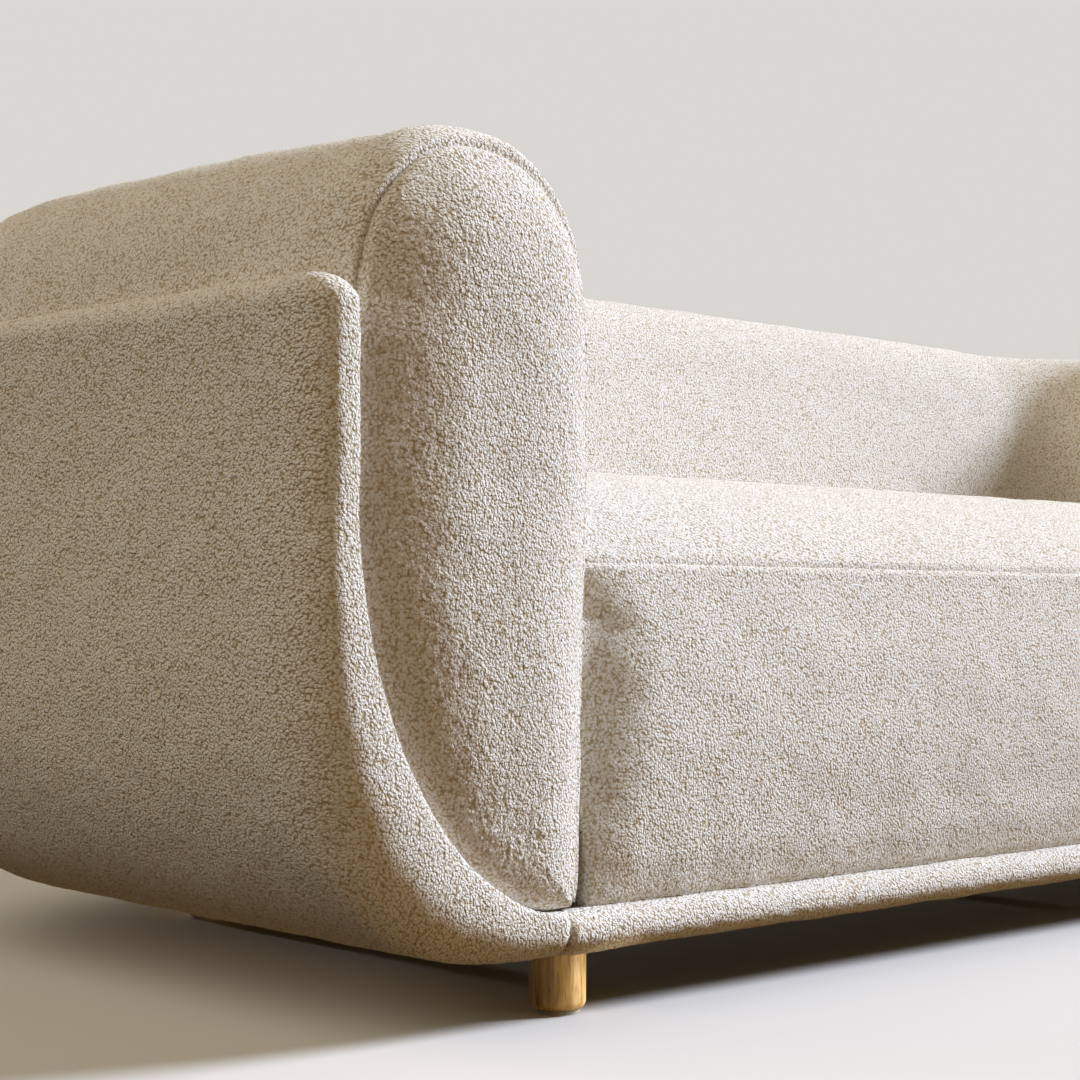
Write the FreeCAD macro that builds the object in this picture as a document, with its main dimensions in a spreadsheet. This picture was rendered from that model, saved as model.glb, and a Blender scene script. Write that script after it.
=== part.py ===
import FreeCAD, Part
import math
import os

import Sketcher

# A three-seat sofa. The origin is on the floor under the middle of its footprint: X runs along
# the sofa, Y from the front to the back and Z up. A low padded shell wraps round the sides and
# the back, and a taller padded body of arms and back rises inside it, round one bench seat.
# Most sections are drawn as (inset, height): the inset is measured inwards from the outside
# face of the shell, so that one section serves the arm, the corner and the back.

DRIVING = {
    "overall_width": 2200,
    "overall_depth": 940,
    "overall_height": 710,
    "underside_height": 48,
    "corner_radius": 400,
    "shell_rim_height": 562,
    "shell_thickness": 45,
    "shell_lower_radius": 205,
    "shell_reach": 262,
    "shell_front_inset": 2,
    "crease_straight_height": 400,
    "crease_side_radius": 430,
    "shell_ply": 6,
    "shell_ply_top": 525,
    "band_top": 85,
    "band_depth": 30,
    "face_inset": 10,
    "facing_thickness": 20,
    "arm_depth": 293,
    "pad_thickness": 40,
    "pad_foot_height": 110,
    "collar_height": 480,
    "back_lean": 73,
    "front_pad_thickness": 45,
    "seat_upright_height": 150,
    "seat_seam_inset": 35,
    "seat_seam_height": 360,
    "seat_lean_radius": 648,
    "seat_edge_height": 370,
    "seat_top_height": 445,
    "seat_edge_radius": 280,
    "seat_edge_depth": 190,
    "seat_foam_bottom": 306,
    "seat_foam_top": 388,
    "seat_foam_front": -385,
    "seat_foam_back": 130,
    "seat_foam_half_width": 770,
    "seat_half_width": 803,
    "seat_front_half_width": 807,
    "seat_top_back": 150,
    "seat_corner_radius": 115,
    "plinth_thickness": 18,
    "plinth_width": 90,
    "plinth_middle_half": 45,
    "rail_thickness": 25,
    "rail_top": 290,
    "side_rail_face": 800,
    "back_rail_face": 100,
    "cross_rail_top": 230,
    "cross_rail_spacing": 400,
    "sill_width": 38,
    "corner_sill_width": 32,
    "block_length": 80,
    "block_top": 180,
    "rib_thickness": 18,
    "rib_top_width": 118,
    "arm_rib_spacing": 248,
    "back_rib_count": 5,
    "top_rail_bottom": 640,
    "top_rail_width": 50,
    "top_rail_thickness": 22,
    "strap_width": 50,
    "strap_thickness": 2,
    "strap_count": 3,
    "strap_first_height": 200,
    "strap_spacing": 150,
    "spring_count": 13,
    "spring_spacing": 115,
    "spring_width": 50,
    "spring_pitch": 24,
    "spring_wire": 3.8,
    "clip_length": 26,
    "clip_depth": 12,
    "clip_height": 8,
    "clip_sheet": 2,
    "spring_pad_thickness": 6,
    "spring_pad_half_width": 790,
    "leg_diameter": 46,
    "leg_edge_radius": 7,
    "glide_diameter": 36,
    "glide_thickness": 3,
    "bolt_diameter": 8,
    "bolt_start": 16,
    "nut_diameter": 10,
    "nut_start": 52,
    "nut_flange_diameter": 22,
    "nut_flange_thickness": 1.5,
    "front_leg_across": 813,
    "front_leg_along": -426,
    "back_leg_across": 735,
    "back_leg_along": 165,
    "centre_leg_along": -116,
    "dust_cover_thickness": 1,
    "dust_cover_half_width": 800,
    "dust_cover_front": -425,
    "dust_cover_back": 175,
    "dust_cover_gap": 2,
    "screw_diameter": 5,
    "screw_head_diameter": 10,
    "screw_length": 50,
    "screw_first_height": 95,
    "screw_spacing": 55,
}

doc = FreeCAD.newDocument("sofa")
nodes = []


# ---------------------------------------------------------------- the sheet and its expressions

def make_sheet():
    """Put each driving dimension in a cell of its own, under its alias."""
    sheet = doc.addObject("Spreadsheet::Sheet", "dims")
    for row, (alias, value) in enumerate(DRIVING.items(), start=1):
        sheet.set(f"A{row}", alias.replace("_", " "))
        sheet.set(f"B{row}", str(value))
        sheet.setAlias(f"B{row}", alias)
    doc.recompute()
    return sheet


sheet = make_sheet()


def value(expression):
    """What an expression on the sheet comes to, as a plain number."""
    result = sheet.evalExpression(str(expression).replace("dims.", ""))
    return float(getattr(result, "Value", result))


def bind(thing, **expressions):
    """Bind properties of an object to the sheet; a double underscore stands for a dot."""
    for name, expression in expressions.items():
        thing.setExpression(name.replace("__", "."), str(expression))


HALF_WIDTH = "dims.overall_width / 2"
HALF_DEPTH = "dims.overall_depth / 2"
CORNER_X = "(dims.overall_width / 2 - dims.corner_radius)"
CORNER_Y = "(dims.overall_depth / 2 - dims.corner_radius)"
FACE_Y = "(dims.face_inset - dims.overall_depth / 2)"
BODY_Y = f"({FACE_Y} + dims.facing_thickness)"
FRAME_Y = f"({FACE_Y} + dims.front_pad_thickness)"
FLOOR_Z = "(dims.underside_height + dims.plinth_thickness)"
ROLL_RADIUS = "((dims.arm_depth - dims.shell_thickness) / 2)"
ROLL_INSET = f"(dims.shell_thickness + {ROLL_RADIUS})"
SHOULDER = f"(dims.overall_height - {ROLL_RADIUS})"
CREASE_WIDTH = "(dims.shell_reach - dims.shell_thickness)"
CREASE_RISE = "(dims.crease_straight_height - dims.band_top)"
# the lower arc of the crease touches the side arc and the horizontal at the shell's reach
CREASE_LOWER_RADIUS = (
    "((dims.crease_side_radius ^ 2"
    f" - (dims.crease_side_radius - {CREASE_WIDTH}) ^ 2 - {CREASE_RISE} ^ 2)"
    f" / (2 * (dims.crease_side_radius - {CREASE_RISE})))"
)
CREASE_GAP = f"(dims.crease_side_radius - {CREASE_LOWER_RADIUS})"


# ---------------------------------------------------------------- outlines and the solids on them

LEFT = 1
RIGHT = -1


def along_arm(points):
    """An (inset, height) section as it stands in the left arm, on the XZ plane."""
    return [(f"({inset} - {HALF_WIDTH})", height, bend) for inset, height, bend in points]


def round_corner(points):
    """An (inset, height) section as it stands beside the corner's own axis."""
    return [(f"({inset} - dims.corner_radius)", height, bend) for inset, height, bend in points]


def along_back(points):
    """An (inset, height) section as it stands in the back, on the YZ plane, seen mirrored."""
    return [
        (f"({HALF_DEPTH} - {inset})", height, bend and (bend[0], -bend[1]))
        for inset, height, bend in points
    ]


def arc_between(start, end, radius, turn):
    """The arc of a radius from one point to the next; turn is LEFT or RIGHT along the way."""
    chord = end - start
    rise = math.sqrt(max(radius ** 2 - chord.Length ** 2 / 4, 0))
    across = FreeCAD.Vector(-chord.y, chord.x, 0) / chord.Length * turn
    centre = (start + end) / 2 + across * rise
    middle = centre - across * radius
    return Part.Arc(start, middle, end)


def origin_plane(body, role):
    return [plane for plane in body.Origin.OriginFeatures if plane.Role == role][0]


def draw_outline(body, role, points):
    """A closed sketch through points (across, up, bend); bend is None or (radius, turn)."""
    sketch = body.newObject("Sketcher::SketchObject", body.Label + "_outline")
    sketch.AttachmentSupport = [(origin_plane(body, role), "")]
    sketch.MapMode = "FlatFace"
    corners = [FreeCAD.Vector(value(across), value(up), 0) for across, up, bend in points]
    starts = []
    for index, (across, up, bend) in enumerate(points):
        start = corners[index]
        end = corners[(index + 1) % len(corners)]
        if bend is None:
            edge = sketch.addGeometry(Part.LineSegment(start, end))
            starts.append((edge, 1, 2))
            continue
        curve = arc_between(start, end, value(bend[0]), bend[1])
        edge = sketch.addGeometry(curve)
        # a sketch keeps every arc counterclockwise, so one that turns right starts at its end
        first, last = (1, 2) if bend[1] == LEFT else (2, 1)
        starts.append((edge, first, last))
        radius = sketch.addConstraint(Sketcher.Constraint("Radius", edge, value(bend[0])))
        sketch.setExpression(f"Constraints[{radius}]", bend[0])
    for index, (across, up, bend) in enumerate(points):
        edge, first, last = starts[index]
        next_edge, next_first, next_last = starts[(index + 1) % len(points)]
        sketch.addConstraint(Sketcher.Constraint("Coincident", edge, last, next_edge, next_first))
        for kind, expression in (("DistanceX", across), ("DistanceY", up)):
            size = Sketcher.Constraint(kind, -1, 1, edge, first, value(expression))
            number = sketch.addConstraint(size)
            sketch.setExpression(f"Constraints[{number}]", str(expression))
    return sketch


def new_body(name):
    body = doc.addObject("PartDesign::Body", name)
    body.Label = name
    return body


def extrusion(name, role, points, start, length):
    """A body padded from an outline, from start for a length along its plane's positive axis."""
    body = new_body(name)
    sketch = draw_outline(body, role, points)
    pad = body.newObject("PartDesign::Pad", name + "_pad")
    pad.Profile = sketch
    pad.Reversed = role == "XZ_Plane"
    bind(pad, Length=length)
    axis = {"XZ_Plane": "y", "YZ_Plane": "x", "XY_Plane": "z"}[role]
    bind(body, **{f"Placement__Base__{axis}": start})
    sketch.Visibility = False
    return body


def corner_sweep(name, points):
    """A body turned through the left back corner, from the arm's line to the back's."""
    body = new_body(name)
    sketch = draw_outline(body, "XZ_Plane", round_corner(points))
    turn = body.newObject("PartDesign::Revolution", name + "_turn")
    turn.Profile = sketch
    turn.ReferenceAxis = (sketch, ["V_Axis"])
    turn.Angle = 90
    turn.Reversed = True
    bind(body, Placement__Base__x=f"-{CORNER_X}", Placement__Base__y=CORNER_Y)
    return body


def board(name, low, high):
    """A straight-sided board between two corners, each given as three expressions."""
    box = doc.addObject("Part::Box", name)
    box.Label = name
    sides = [f"({end}) - ({start})" for start, end in zip(low, high)]
    bind(box, Length=sides[0], Width=sides[1], Height=sides[2])
    bind(box, Placement__Base__x=low[0], Placement__Base__y=low[1], Placement__Base__z=low[2])
    return box


def rod(name, diameter, base, top, across=0, along=0):
    """An upright cylinder from one height to another."""
    cylinder = doc.addObject("Part::Cylinder", name)
    cylinder.Label = name
    bind(cylinder, Radius=f"({diameter}) / 2", Height=f"({top}) - ({base})")
    bind(cylinder, Placement__Base__x=across, Placement__Base__y=along, Placement__Base__z=base)
    return cylinder


def mirrored(source, name):
    """The right-hand twin of a left-hand piece."""
    twin = doc.addObject("Part::Mirroring", name)
    twin.Label = name
    twin.Source = source
    twin.Normal = FreeCAD.Vector(1, 0, 0)
    return twin


def cut(name, base, tool):
    """What is left of a base when a tool is taken out of it."""
    base.Label = name + "_blank"
    result = doc.addObject("Part::Cut", name + "_cut")
    result.Label = name
    result.Base = base
    result.Tool = tool
    return result


def group(name, members):
    """Identical small pieces kept together as separate solids."""
    result = doc.addObject("Part::Compound", name)
    result.Label = name
    result.Links = members
    return result


def keep(*pieces):
    """List pieces as sub-parts to be written out."""
    nodes.extend(pieces)
    return pieces[0]


def keep_pair(source, stem):
    """List a left-hand piece and its right-hand twin."""
    keep(source, mirrored(source, stem + "_right"))


def keep_both(source, name):
    """List a hidden left-hand piece and its right-hand twin as one sub-part of two solids."""
    keep(group(name, [source, mirrored(source, source.Label + "_twin")]))


# ---------------------------------------------------------------- legs and their fixings

LEG_PLACES = {
    "front_left": ("-dims.front_leg_across", "dims.front_leg_along"),
    "front_right": ("dims.front_leg_across", "dims.front_leg_along"),
    "back_left": ("-dims.back_leg_across", "dims.back_leg_along"),
    "back_right": ("dims.back_leg_across", "dims.back_leg_along"),
    "centre": ("0", "dims.centre_leg_along"),
}


def make_leg(name, across, along):
    """A turned leg: its foot edge is rounded and its top is bored for the hanger bolt."""
    bore = "dims.bolt_diameter / 2"
    outside = "dims.leg_diameter / 2"
    inside = "dims.leg_diameter / 2 - dims.leg_edge_radius"
    foot = "dims.glide_thickness"
    points = [
        ("0", foot, None),
        (inside, foot, ("dims.leg_edge_radius", LEFT)),
        (outside, f"{foot} + dims.leg_edge_radius", None),
        (outside, "dims.underside_height", None),
        (bore, "dims.underside_height", None),
        (bore, "dims.bolt_start", None),
        ("0", "dims.bolt_start", None),
    ]
    return turned(name, points, across, along)


def turned(name, points, across, along):
    """A body turned all the way round an upright axis of its own."""
    body = new_body(name)
    sketch = draw_outline(body, "XZ_Plane", points)
    turn = body.newObject("PartDesign::Revolution", name + "_turn")
    turn.Profile = sketch
    turn.ReferenceAxis = (sketch, ["V_Axis"])
    turn.Angle = 360
    bind(body, Placement__Base__x=across, Placement__Base__y=along)
    return body


def make_nut(name, across, along):
    """A T-nut: a barrel under a thin flange that lies flush in the plinth's top."""
    bore = "dims.bolt_diameter / 2"
    barrel = "dims.nut_diameter / 2"
    flange = "dims.nut_flange_diameter / 2"
    under_flange = f"{FLOOR_Z} - dims.nut_flange_thickness"
    points = [
        (bore, "dims.nut_start", None),
        (barrel, "dims.nut_start", None),
        (barrel, under_flange, None),
        (flange, under_flange, None),
        (flange, FLOOR_Z, None),
        (bore, FLOOR_Z, None),
    ]
    return turned(name, points, across, along)


def make_legs():
    """Five legs, each with a hanger bolt into a T-nut and a felt glide under it."""
    bolts = []
    nuts = []
    glides = []
    recesses = []
    for place, (across, along) in LEG_PLACES.items():
        keep(make_leg(f"leg_{place}", across, along))
        bolts.append(rod(f"bolt_{place}", "dims.bolt_diameter", "dims.bolt_start", FLOOR_Z,
                         across, along))
        nuts.append(make_nut(f"nut_{place}", across, along))
        glides.append(rod(f"glide_{place}", "dims.glide_diameter", "0", "dims.glide_thickness",
                          across, along))
        under_flange = f"({FLOOR_Z} - dims.nut_flange_thickness)"
        recesses.append(rod(f"barrel_bore_{place}", "dims.nut_diameter",
                            "dims.underside_height", under_flange, across, along))
        recesses.append(rod(f"flange_seat_{place}", "dims.nut_flange_diameter",
                            under_flange, FLOOR_Z, across, along))
    keep(group("hanger_bolts", bolts))
    keep(group("tee_nuts", nuts))
    keep(group("felt_glides", glides))
    return group("nut_recesses", recesses)


# ---------------------------------------------------------------- the wooden base

def make_plinth(recesses):
    """Flat boards on the legs: a front and a back one, two sides, a middle and two corners."""
    low = "dims.underside_height"
    reach_x = f"({HALF_WIDTH} - dims.shell_reach)"
    reach_y = f"({HALF_DEPTH} - dims.shell_reach)"
    inner_front = f"({BODY_Y} + dims.plinth_width)"
    inner_back = f"({reach_y} - dims.plinth_width)"
    front = board("plinth_front", (f"-{reach_x}", BODY_Y, low), (reach_x, inner_front, FLOOR_Z))
    back = board("plinth_back", (f"-{CORNER_X}", inner_back, low), (CORNER_X, reach_y, FLOOR_Z))
    side = board("plinth_left", (f"-{reach_x}", inner_front, low),
                 (f"dims.plinth_width - {reach_x}", CORNER_Y, FLOOR_Z))
    middle = board("plinth_middle", ("-dims.plinth_middle_half", inner_front, low),
                   ("dims.plinth_middle_half", inner_back, FLOOR_Z))
    outer = "(dims.shell_reach - dims.corner_radius)"
    corner_points = [("0", "0", None), (outer, "0", (f"-{outer}", RIGHT)), ("0", f"-{outer}", None)]
    corner = extrusion("plinth_corner", "XY_Plane", corner_points, low,
                       "dims.plinth_thickness")
    bind(corner, Placement__Base__x=f"-{CORNER_X}", Placement__Base__y=CORNER_Y)
    keep(cut("plinth_front", front, recesses))
    keep(back)
    keep_pair(side, "plinth")
    keep(cut("plinth_middle", middle, recesses))
    keep_both(cut("plinth_corner", corner, recesses), "plinth_corners")


def make_screws():
    """Two countersunk screws through each corner block into the side rail beside it."""
    inner_x = value("dims.side_rail_face - dims.rail_thickness")
    front_y = value(f"{FRAME_Y} + dims.rail_thickness")
    back_y = value("dims.back_rail_face - dims.rail_thickness")
    reach = value("dims.block_length") / 2
    depth = value("dims.screw_length") - value("dims.rail_thickness") / 2
    radius = value("dims.screw_diameter") / 2
    head = value("dims.screw_head_diameter") / 2
    solids = []
    for side in (-1, 1):
        outward = FreeCAD.Vector(side, 0, 0)
        for along in (front_y + reach / 2, back_y - reach / 2):
            for step in range(2):
                height = value("dims.screw_first_height") + step * value("dims.screw_spacing")
                tip = FreeCAD.Vector(side * (inner_x + value("dims.rail_thickness") / 2),
                                     along, height)
                start = tip - outward * depth
                shank = Part.makeCylinder(radius, depth, start, outward)
                cone = Part.makeCone(head, radius, head - radius, start, outward)
                solids.append(shank.fuse(cone).removeSplitter())
    screws = doc.addObject("Part::Feature", "frame_screws")
    screws.Label = "frame_screws"
    screws.Shape = Part.makeCompound(solids)
    return screws


def make_base_frame():
    """The seat frame: rails round the seat well, cross rails and glued corner blocks."""
    screws = make_screws()
    keep(screws)
    side_x = "dims.side_rail_face"
    inner_x = "(dims.side_rail_face - dims.rail_thickness)"
    front_y = f"({FRAME_Y} + dims.rail_thickness)"
    back_y = "(dims.back_rail_face - dims.rail_thickness)"
    keep(board("front_rail", (f"-{side_x}", FRAME_Y, FLOOR_Z), (side_x, front_y, "dims.rail_top")))
    keep(board("back_seat_rail", (f"-{side_x}", back_y, FLOOR_Z),
               (side_x, "dims.back_rail_face", "dims.rail_top")))
    side = board("side_rail_left", (f"-{side_x}", front_y, FLOOR_Z),
                 (f"-{inner_x}", back_y, "dims.rail_top"))
    keep_pair(cut("side_rail_left", side, screws), "side_rail")
    cross_rails = []
    for step in (-1, 0, 1):
        across = f"{step} * dims.cross_rail_spacing"
        cross_rails.append(board(f"cross_rail_{step + 2}",
                                 (f"{across} - dims.rail_thickness / 2", front_y, FLOOR_Z),
                                 (f"{across} + dims.rail_thickness / 2", back_y,
                                  "dims.cross_rail_top")))
    keep(group("cross_rails", cross_rails))
    blocks = []
    for side in (-1, 1):
        for end, along, way in (("front", front_y, 1), ("back", back_y, -1)):
            across = f"{side} * {inner_x}"
            points = [
                (across, along, None),
                (f"{across} - {side} * dims.block_length", along, None),
                (across, f"{along} + {way} * dims.block_length", None),
            ]
            name = f"block_{end}_{'left' if side < 0 else 'right'}"
            blocks.append(extrusion(name, "XY_Plane", points, FLOOR_Z,
                                    f"dims.block_top - {FLOOR_Z}"))
    keep(cut("corner_blocks", group("corner_block_blanks", blocks), screws))


def make_sills():
    """Low rails outside the seat frame: the arms' and the back's ribs stand against them."""
    top = "dims.pad_foot_height"
    outer_x = f"({HALF_WIDTH} - dims.shell_reach)"
    outer_y = f"({HALF_DEPTH} - dims.shell_reach)"
    arm = board("arm_sill", (f"-{outer_x}", FRAME_Y, FLOOR_Z),
                (f"dims.sill_width - {outer_x}", CORNER_Y, top))
    keep_both(arm, "arm_sills")
    keep(board("back_sill", (f"-{CORNER_X}", "dims.back_rail_face", FLOOR_Z),
               (CORNER_X, outer_y, top)))
    inner = "dims.shell_reach + dims.corner_sill_width"
    points = [("dims.shell_reach", FLOOR_Z, None), (inner, FLOOR_Z, None), (inner, top, None),
              ("dims.shell_reach", top, None)]
    keep_both(corner_sweep("corner_sill", points), "corner_sills")


# ---------------------------------------------------------------- ribs, top rails and webbing

def crease(offset):
    """The shell's inner curve from its straight side to its reach, moved outwards by offset."""
    lower_radius = f"({CREASE_LOWER_RADIUS} + {offset})"
    turn_inset = (f"(dims.shell_reach - {lower_radius}"
                  f" * (dims.crease_side_radius - {CREASE_WIDTH}) / {CREASE_GAP})")
    turn_height = (f"(dims.band_top + {CREASE_LOWER_RADIUS} - {lower_radius}"
                   f" * ({CREASE_RISE} - {CREASE_LOWER_RADIUS}) / {CREASE_GAP})")
    side = (f"(dims.shell_thickness - {offset})", "dims.crease_straight_height")
    turn = (turn_inset, turn_height)
    end = ("dims.shell_reach", f"(dims.band_top - {offset})")
    return side, turn, end, f"(dims.crease_side_radius + {offset})", lower_radius


def down_crease(offset):
    """The crease as outline points, from its side down to its reach."""
    side, turn, end, side_radius, lower_radius = crease(offset)
    return [(*side, (side_radius, LEFT)), (*turn, (lower_radius, LEFT)), (*end, None)]


def up_crease(offset):
    """The crease as outline points, from its reach up to its side."""
    side, turn, end, side_radius, lower_radius = crease(offset)
    return [(*end, (lower_radius, RIGHT)), (*turn, (side_radius, RIGHT)), (*side, None)]


def rib_outline(lean, relief):
    """A rib fills the roll inside its pad: its outer edge carries the bent shell."""
    inner = f"(dims.arm_depth - dims.pad_thickness - {relief})"
    half_top = "dims.rib_top_width / 2"
    outer = "(dims.shell_thickness + dims.pad_thickness)"
    return [
        ("dims.shell_thickness", "dims.collar_height", None),
        *down_crease("0"),
        ("dims.shell_reach", "dims.pad_foot_height", None),
        (f"({inner} + {lean})", "dims.pad_foot_height", None),
        (inner, SHOULDER, None),
        (f"({ROLL_INSET} + {half_top})", "dims.top_rail_bottom", None),
        (f"({ROLL_INSET} - {half_top})", "dims.top_rail_bottom", None),
        (outer, SHOULDER, None),
        (outer, "dims.collar_height", None),
    ]


def make_ribs():
    """Plywood ribs: two and a front board in each arm, one at each corner, five in the back."""
    thickness = "dims.rib_thickness"
    arm = along_arm(rib_outline("0", "0"))
    keep_pair(extrusion("arm_front_board_left", "XZ_Plane", arm, BODY_Y, thickness),
              "arm_front_board")
    ribs = []
    for step in (1, 2):
        start = f"{CORNER_Y} - {thickness} - {2 - step} * dims.arm_rib_spacing"
        ribs.append(extrusion(f"arm_rib_left_{step}", "XZ_Plane", arm, start, thickness))
    keep_pair(group("arm_ribs_left", ribs), "arm_ribs")

    corner = round_corner(rib_outline("dims.back_lean / 2", "0"))
    rib = extrusion("corner_rib", "XZ_Plane", corner, "0", thickness)
    rib.Placement.Rotation = FreeCAD.Rotation(FreeCAD.Vector(0, 0, 1), -45)
    half = math.sqrt(0.5)
    bind(rib, Placement__Base__x=f"-{CORNER_X} - {thickness} / 2 * {half}",
         Placement__Base__y=f"{CORNER_Y} - {thickness} / 2 * {half}")
    keep_both(rib, "corner_ribs")

    back = along_back(rib_outline("dims.back_lean", "dims.strap_thickness"))
    count = int(value("dims.back_rib_count"))
    ribs = []
    for step in range(count):
        start = f"-{CORNER_X} + {step} * (2 * {CORNER_X} - {thickness}) / {count - 1}"
        ribs.append(extrusion(f"back_rib_{step + 1}", "YZ_Plane", back, start, thickness))
    keep(group("back_ribs", ribs))


def make_top_rails():
    """The rails along the top of the ribs, inside the roll."""
    low = "dims.top_rail_bottom"
    high = f"({low} + dims.top_rail_thickness)"
    outer = f"({ROLL_INSET} - dims.top_rail_width / 2)"
    inner = f"({ROLL_INSET} + dims.top_rail_width / 2)"
    arm = board("arm_top_rail", (f"{outer} - {HALF_WIDTH}", BODY_Y, low),
                (f"{inner} - {HALF_WIDTH}", CORNER_Y, high))
    keep_both(arm, "arm_top_rails")
    points = [(outer, low, None), (inner, low, None), (inner, high, None), (outer, high, None)]
    keep_both(corner_sweep("corner_top_rail", points), "corner_top_rails")
    keep(board("back_top_rail", (f"-{CORNER_X}", f"{HALF_DEPTH} - {inner}", low),
               (CORNER_X, f"{HALF_DEPTH} - {outer}", high)))


def make_webbing():
    """Elastic straps across the back ribs, behind the back's foam."""
    face = "(dims.arm_depth - dims.pad_thickness)"
    slope = f"(dims.back_lean / ({SHOULDER} - dims.pad_foot_height))"
    straps = []
    for step in range(int(value("dims.strap_count"))):
        low = f"(dims.strap_first_height + {step} * dims.strap_spacing)"
        high = f"({low} + dims.strap_width)"
        at_low = f"({face} + ({SHOULDER} - {low}) * {slope})"
        at_high = f"({face} + ({SHOULDER} - {high}) * {slope})"
        points = [
            (f"({at_low} - dims.strap_thickness)", low, None),
            (at_low, low, None),
            (at_high, high, None),
            (f"({at_high} - dims.strap_thickness)", high, None),
        ]
        straps.append(extrusion(f"strap_{step + 1}", "YZ_Plane", along_back(points),
                                f"-{CORNER_X}", f"2 * {CORNER_X}"))
    keep(group("back_webbing", straps))


# ---------------------------------------------------------------- the outer shell

def shell_ply_outline():
    return [
        ("dims.shell_thickness", "dims.shell_ply_top", None),
        *down_crease("0"),
        *up_crease("dims.shell_ply"),
        ("(dims.shell_thickness - dims.shell_ply)", "dims.shell_ply_top", None),
    ]


def shell_pad_outline():
    """The shell's padding: a round rim, a flat side and a wide lower corner."""
    rim = "(dims.shell_thickness / 2)"
    rim_start = f"(dims.shell_rim_height - {rim})"
    return [
        ("0", rim_start, None),
        ("0", "(dims.underside_height + dims.shell_lower_radius)",
         ("dims.shell_lower_radius", LEFT)),
        ("dims.shell_lower_radius", "dims.underside_height", None),
        ("dims.shell_reach", "dims.underside_height", None),
        *up_crease("dims.shell_ply"),
        ("(dims.shell_thickness - dims.shell_ply)", "dims.shell_ply_top", None),
        ("dims.shell_thickness", "dims.shell_ply_top", None),
        ("dims.shell_thickness", rim_start, (rim, LEFT)),
        (rim, "dims.shell_rim_height", (rim, LEFT)),
    ]


def make_shell(stem, outline, front):
    """One layer of the shell: two sides, two corners and the back."""
    keep_pair(extrusion(f"{stem}_side_left", "XZ_Plane", along_arm(outline), front,
                        f"{CORNER_Y} - {front}"), f"{stem}_side")
    keep_pair(corner_sweep(f"{stem}_corner_left", outline), f"{stem}_corner")
    keep(extrusion(f"{stem}_back", "YZ_Plane", along_back(outline), f"-{CORNER_X}",
                   f"2 * {CORNER_X}"))


# ---------------------------------------------------------------- arm, corner and back pads

def roll_outline(lean):
    """The padding over the ribs: down inside the shell, over the roll and down to the sill."""
    foam = "dims.pad_thickness"
    small = f"({ROLL_RADIUS} - {foam})"
    return [
        ("dims.shell_thickness", "dims.collar_height", None),
        ("dims.shell_thickness", SHOULDER, (ROLL_RADIUS, RIGHT)),
        (ROLL_INSET, "dims.overall_height", (ROLL_RADIUS, RIGHT)),
        ("dims.arm_depth", SHOULDER, None),
        (f"(dims.arm_depth + {lean})", "dims.pad_foot_height", None),
        (f"(dims.arm_depth - {foam} + {lean})", "dims.pad_foot_height", None),
        (f"(dims.arm_depth - {foam})", SHOULDER, (small, LEFT)),
        (ROLL_INSET, f"(dims.overall_height - {foam})", (small, LEFT)),
        (f"(dims.shell_thickness + {foam})", SHOULDER, None),
        (f"(dims.shell_thickness + {foam})", "dims.collar_height", None),
    ]


def section_wire(points, angle):
    """An (inset, height) section as a wire, turned about the left corner's axis."""
    corners = [FreeCAD.Vector(value(across), value(up), 0) for across, up, bend in points]
    edges = []
    for index, (across, up, bend) in enumerate(points):
        start = corners[index]
        end = corners[(index + 1) % len(corners)]
        if bend is None:
            edges.append(Part.LineSegment(start, end).toShape())
        else:
            edges.append(arc_between(start, end, value(bend[0]), bend[1]).toShape())
    wire = Part.Wire(edges)
    upright = FreeCAD.Rotation(FreeCAD.Vector(1, 0, 0), 90)
    turn = FreeCAD.Rotation(FreeCAD.Vector(0, 0, 1), -angle)
    wire.Placement = FreeCAD.Placement(FreeCAD.Vector(0, 0, 0), turn * upright)
    return wire


CORNER_STEPS = 6


def make_corner_pad():
    """The roll turning from the upright arm to the leaning back, lofted through sections."""
    wires = []
    for step in range(CORNER_STEPS + 1):
        share = step / CORNER_STEPS
        lean = value("dims.back_lean") * share * share * (3 - 2 * share)
        wires.append(section_wire(round_corner(roll_outline(str(lean))), 90 * share))
    pad = doc.addObject("Part::Feature", "corner_pad_left")
    pad.Label = "corner_pad_left"
    pad.Shape = Part.makeLoft(wires, True, False)
    pad.Placement.Base = FreeCAD.Vector(-value(CORNER_X), value(CORNER_Y), 0)
    return pad


def facing_outline():
    """The front of the arm: the whole of the roll's front end, inside the shell's rim."""
    return [
        ("(dims.shell_thickness - dims.shell_ply)", "dims.shell_ply_top", None),
        *down_crease("dims.shell_ply"),
        ("dims.shell_reach", "dims.band_top", None),
        ("dims.arm_depth", "dims.band_top", None),
        ("dims.arm_depth", SHOULDER, (ROLL_RADIUS, LEFT)),
        (ROLL_INSET, "dims.overall_height", (ROLL_RADIUS, LEFT)),
        ("dims.shell_thickness", SHOULDER, None),
        ("dims.shell_thickness", "dims.shell_ply_top", None),
    ]


def make_rolls():
    """Arm pads, corner pads, the back pad and the arms' facings."""
    arm = along_arm(roll_outline("0"))
    keep_pair(extrusion("arm_pad_left", "XZ_Plane", arm, BODY_Y, f"{CORNER_Y} - {BODY_Y}"),
              "arm_pad")
    keep_pair(make_corner_pad(), "corner_pad")
    keep(extrusion("back_pad", "YZ_Plane", along_back(roll_outline("dims.back_lean")),
                   f"-{CORNER_X}", f"2 * {CORNER_X}"))
    facing = along_arm(facing_outline())
    keep_pair(extrusion("arm_facing_left", "XZ_Plane", facing, FACE_Y, "dims.facing_thickness"),
              "arm_facing")


# ---------------------------------------------------------------- the seat

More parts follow.
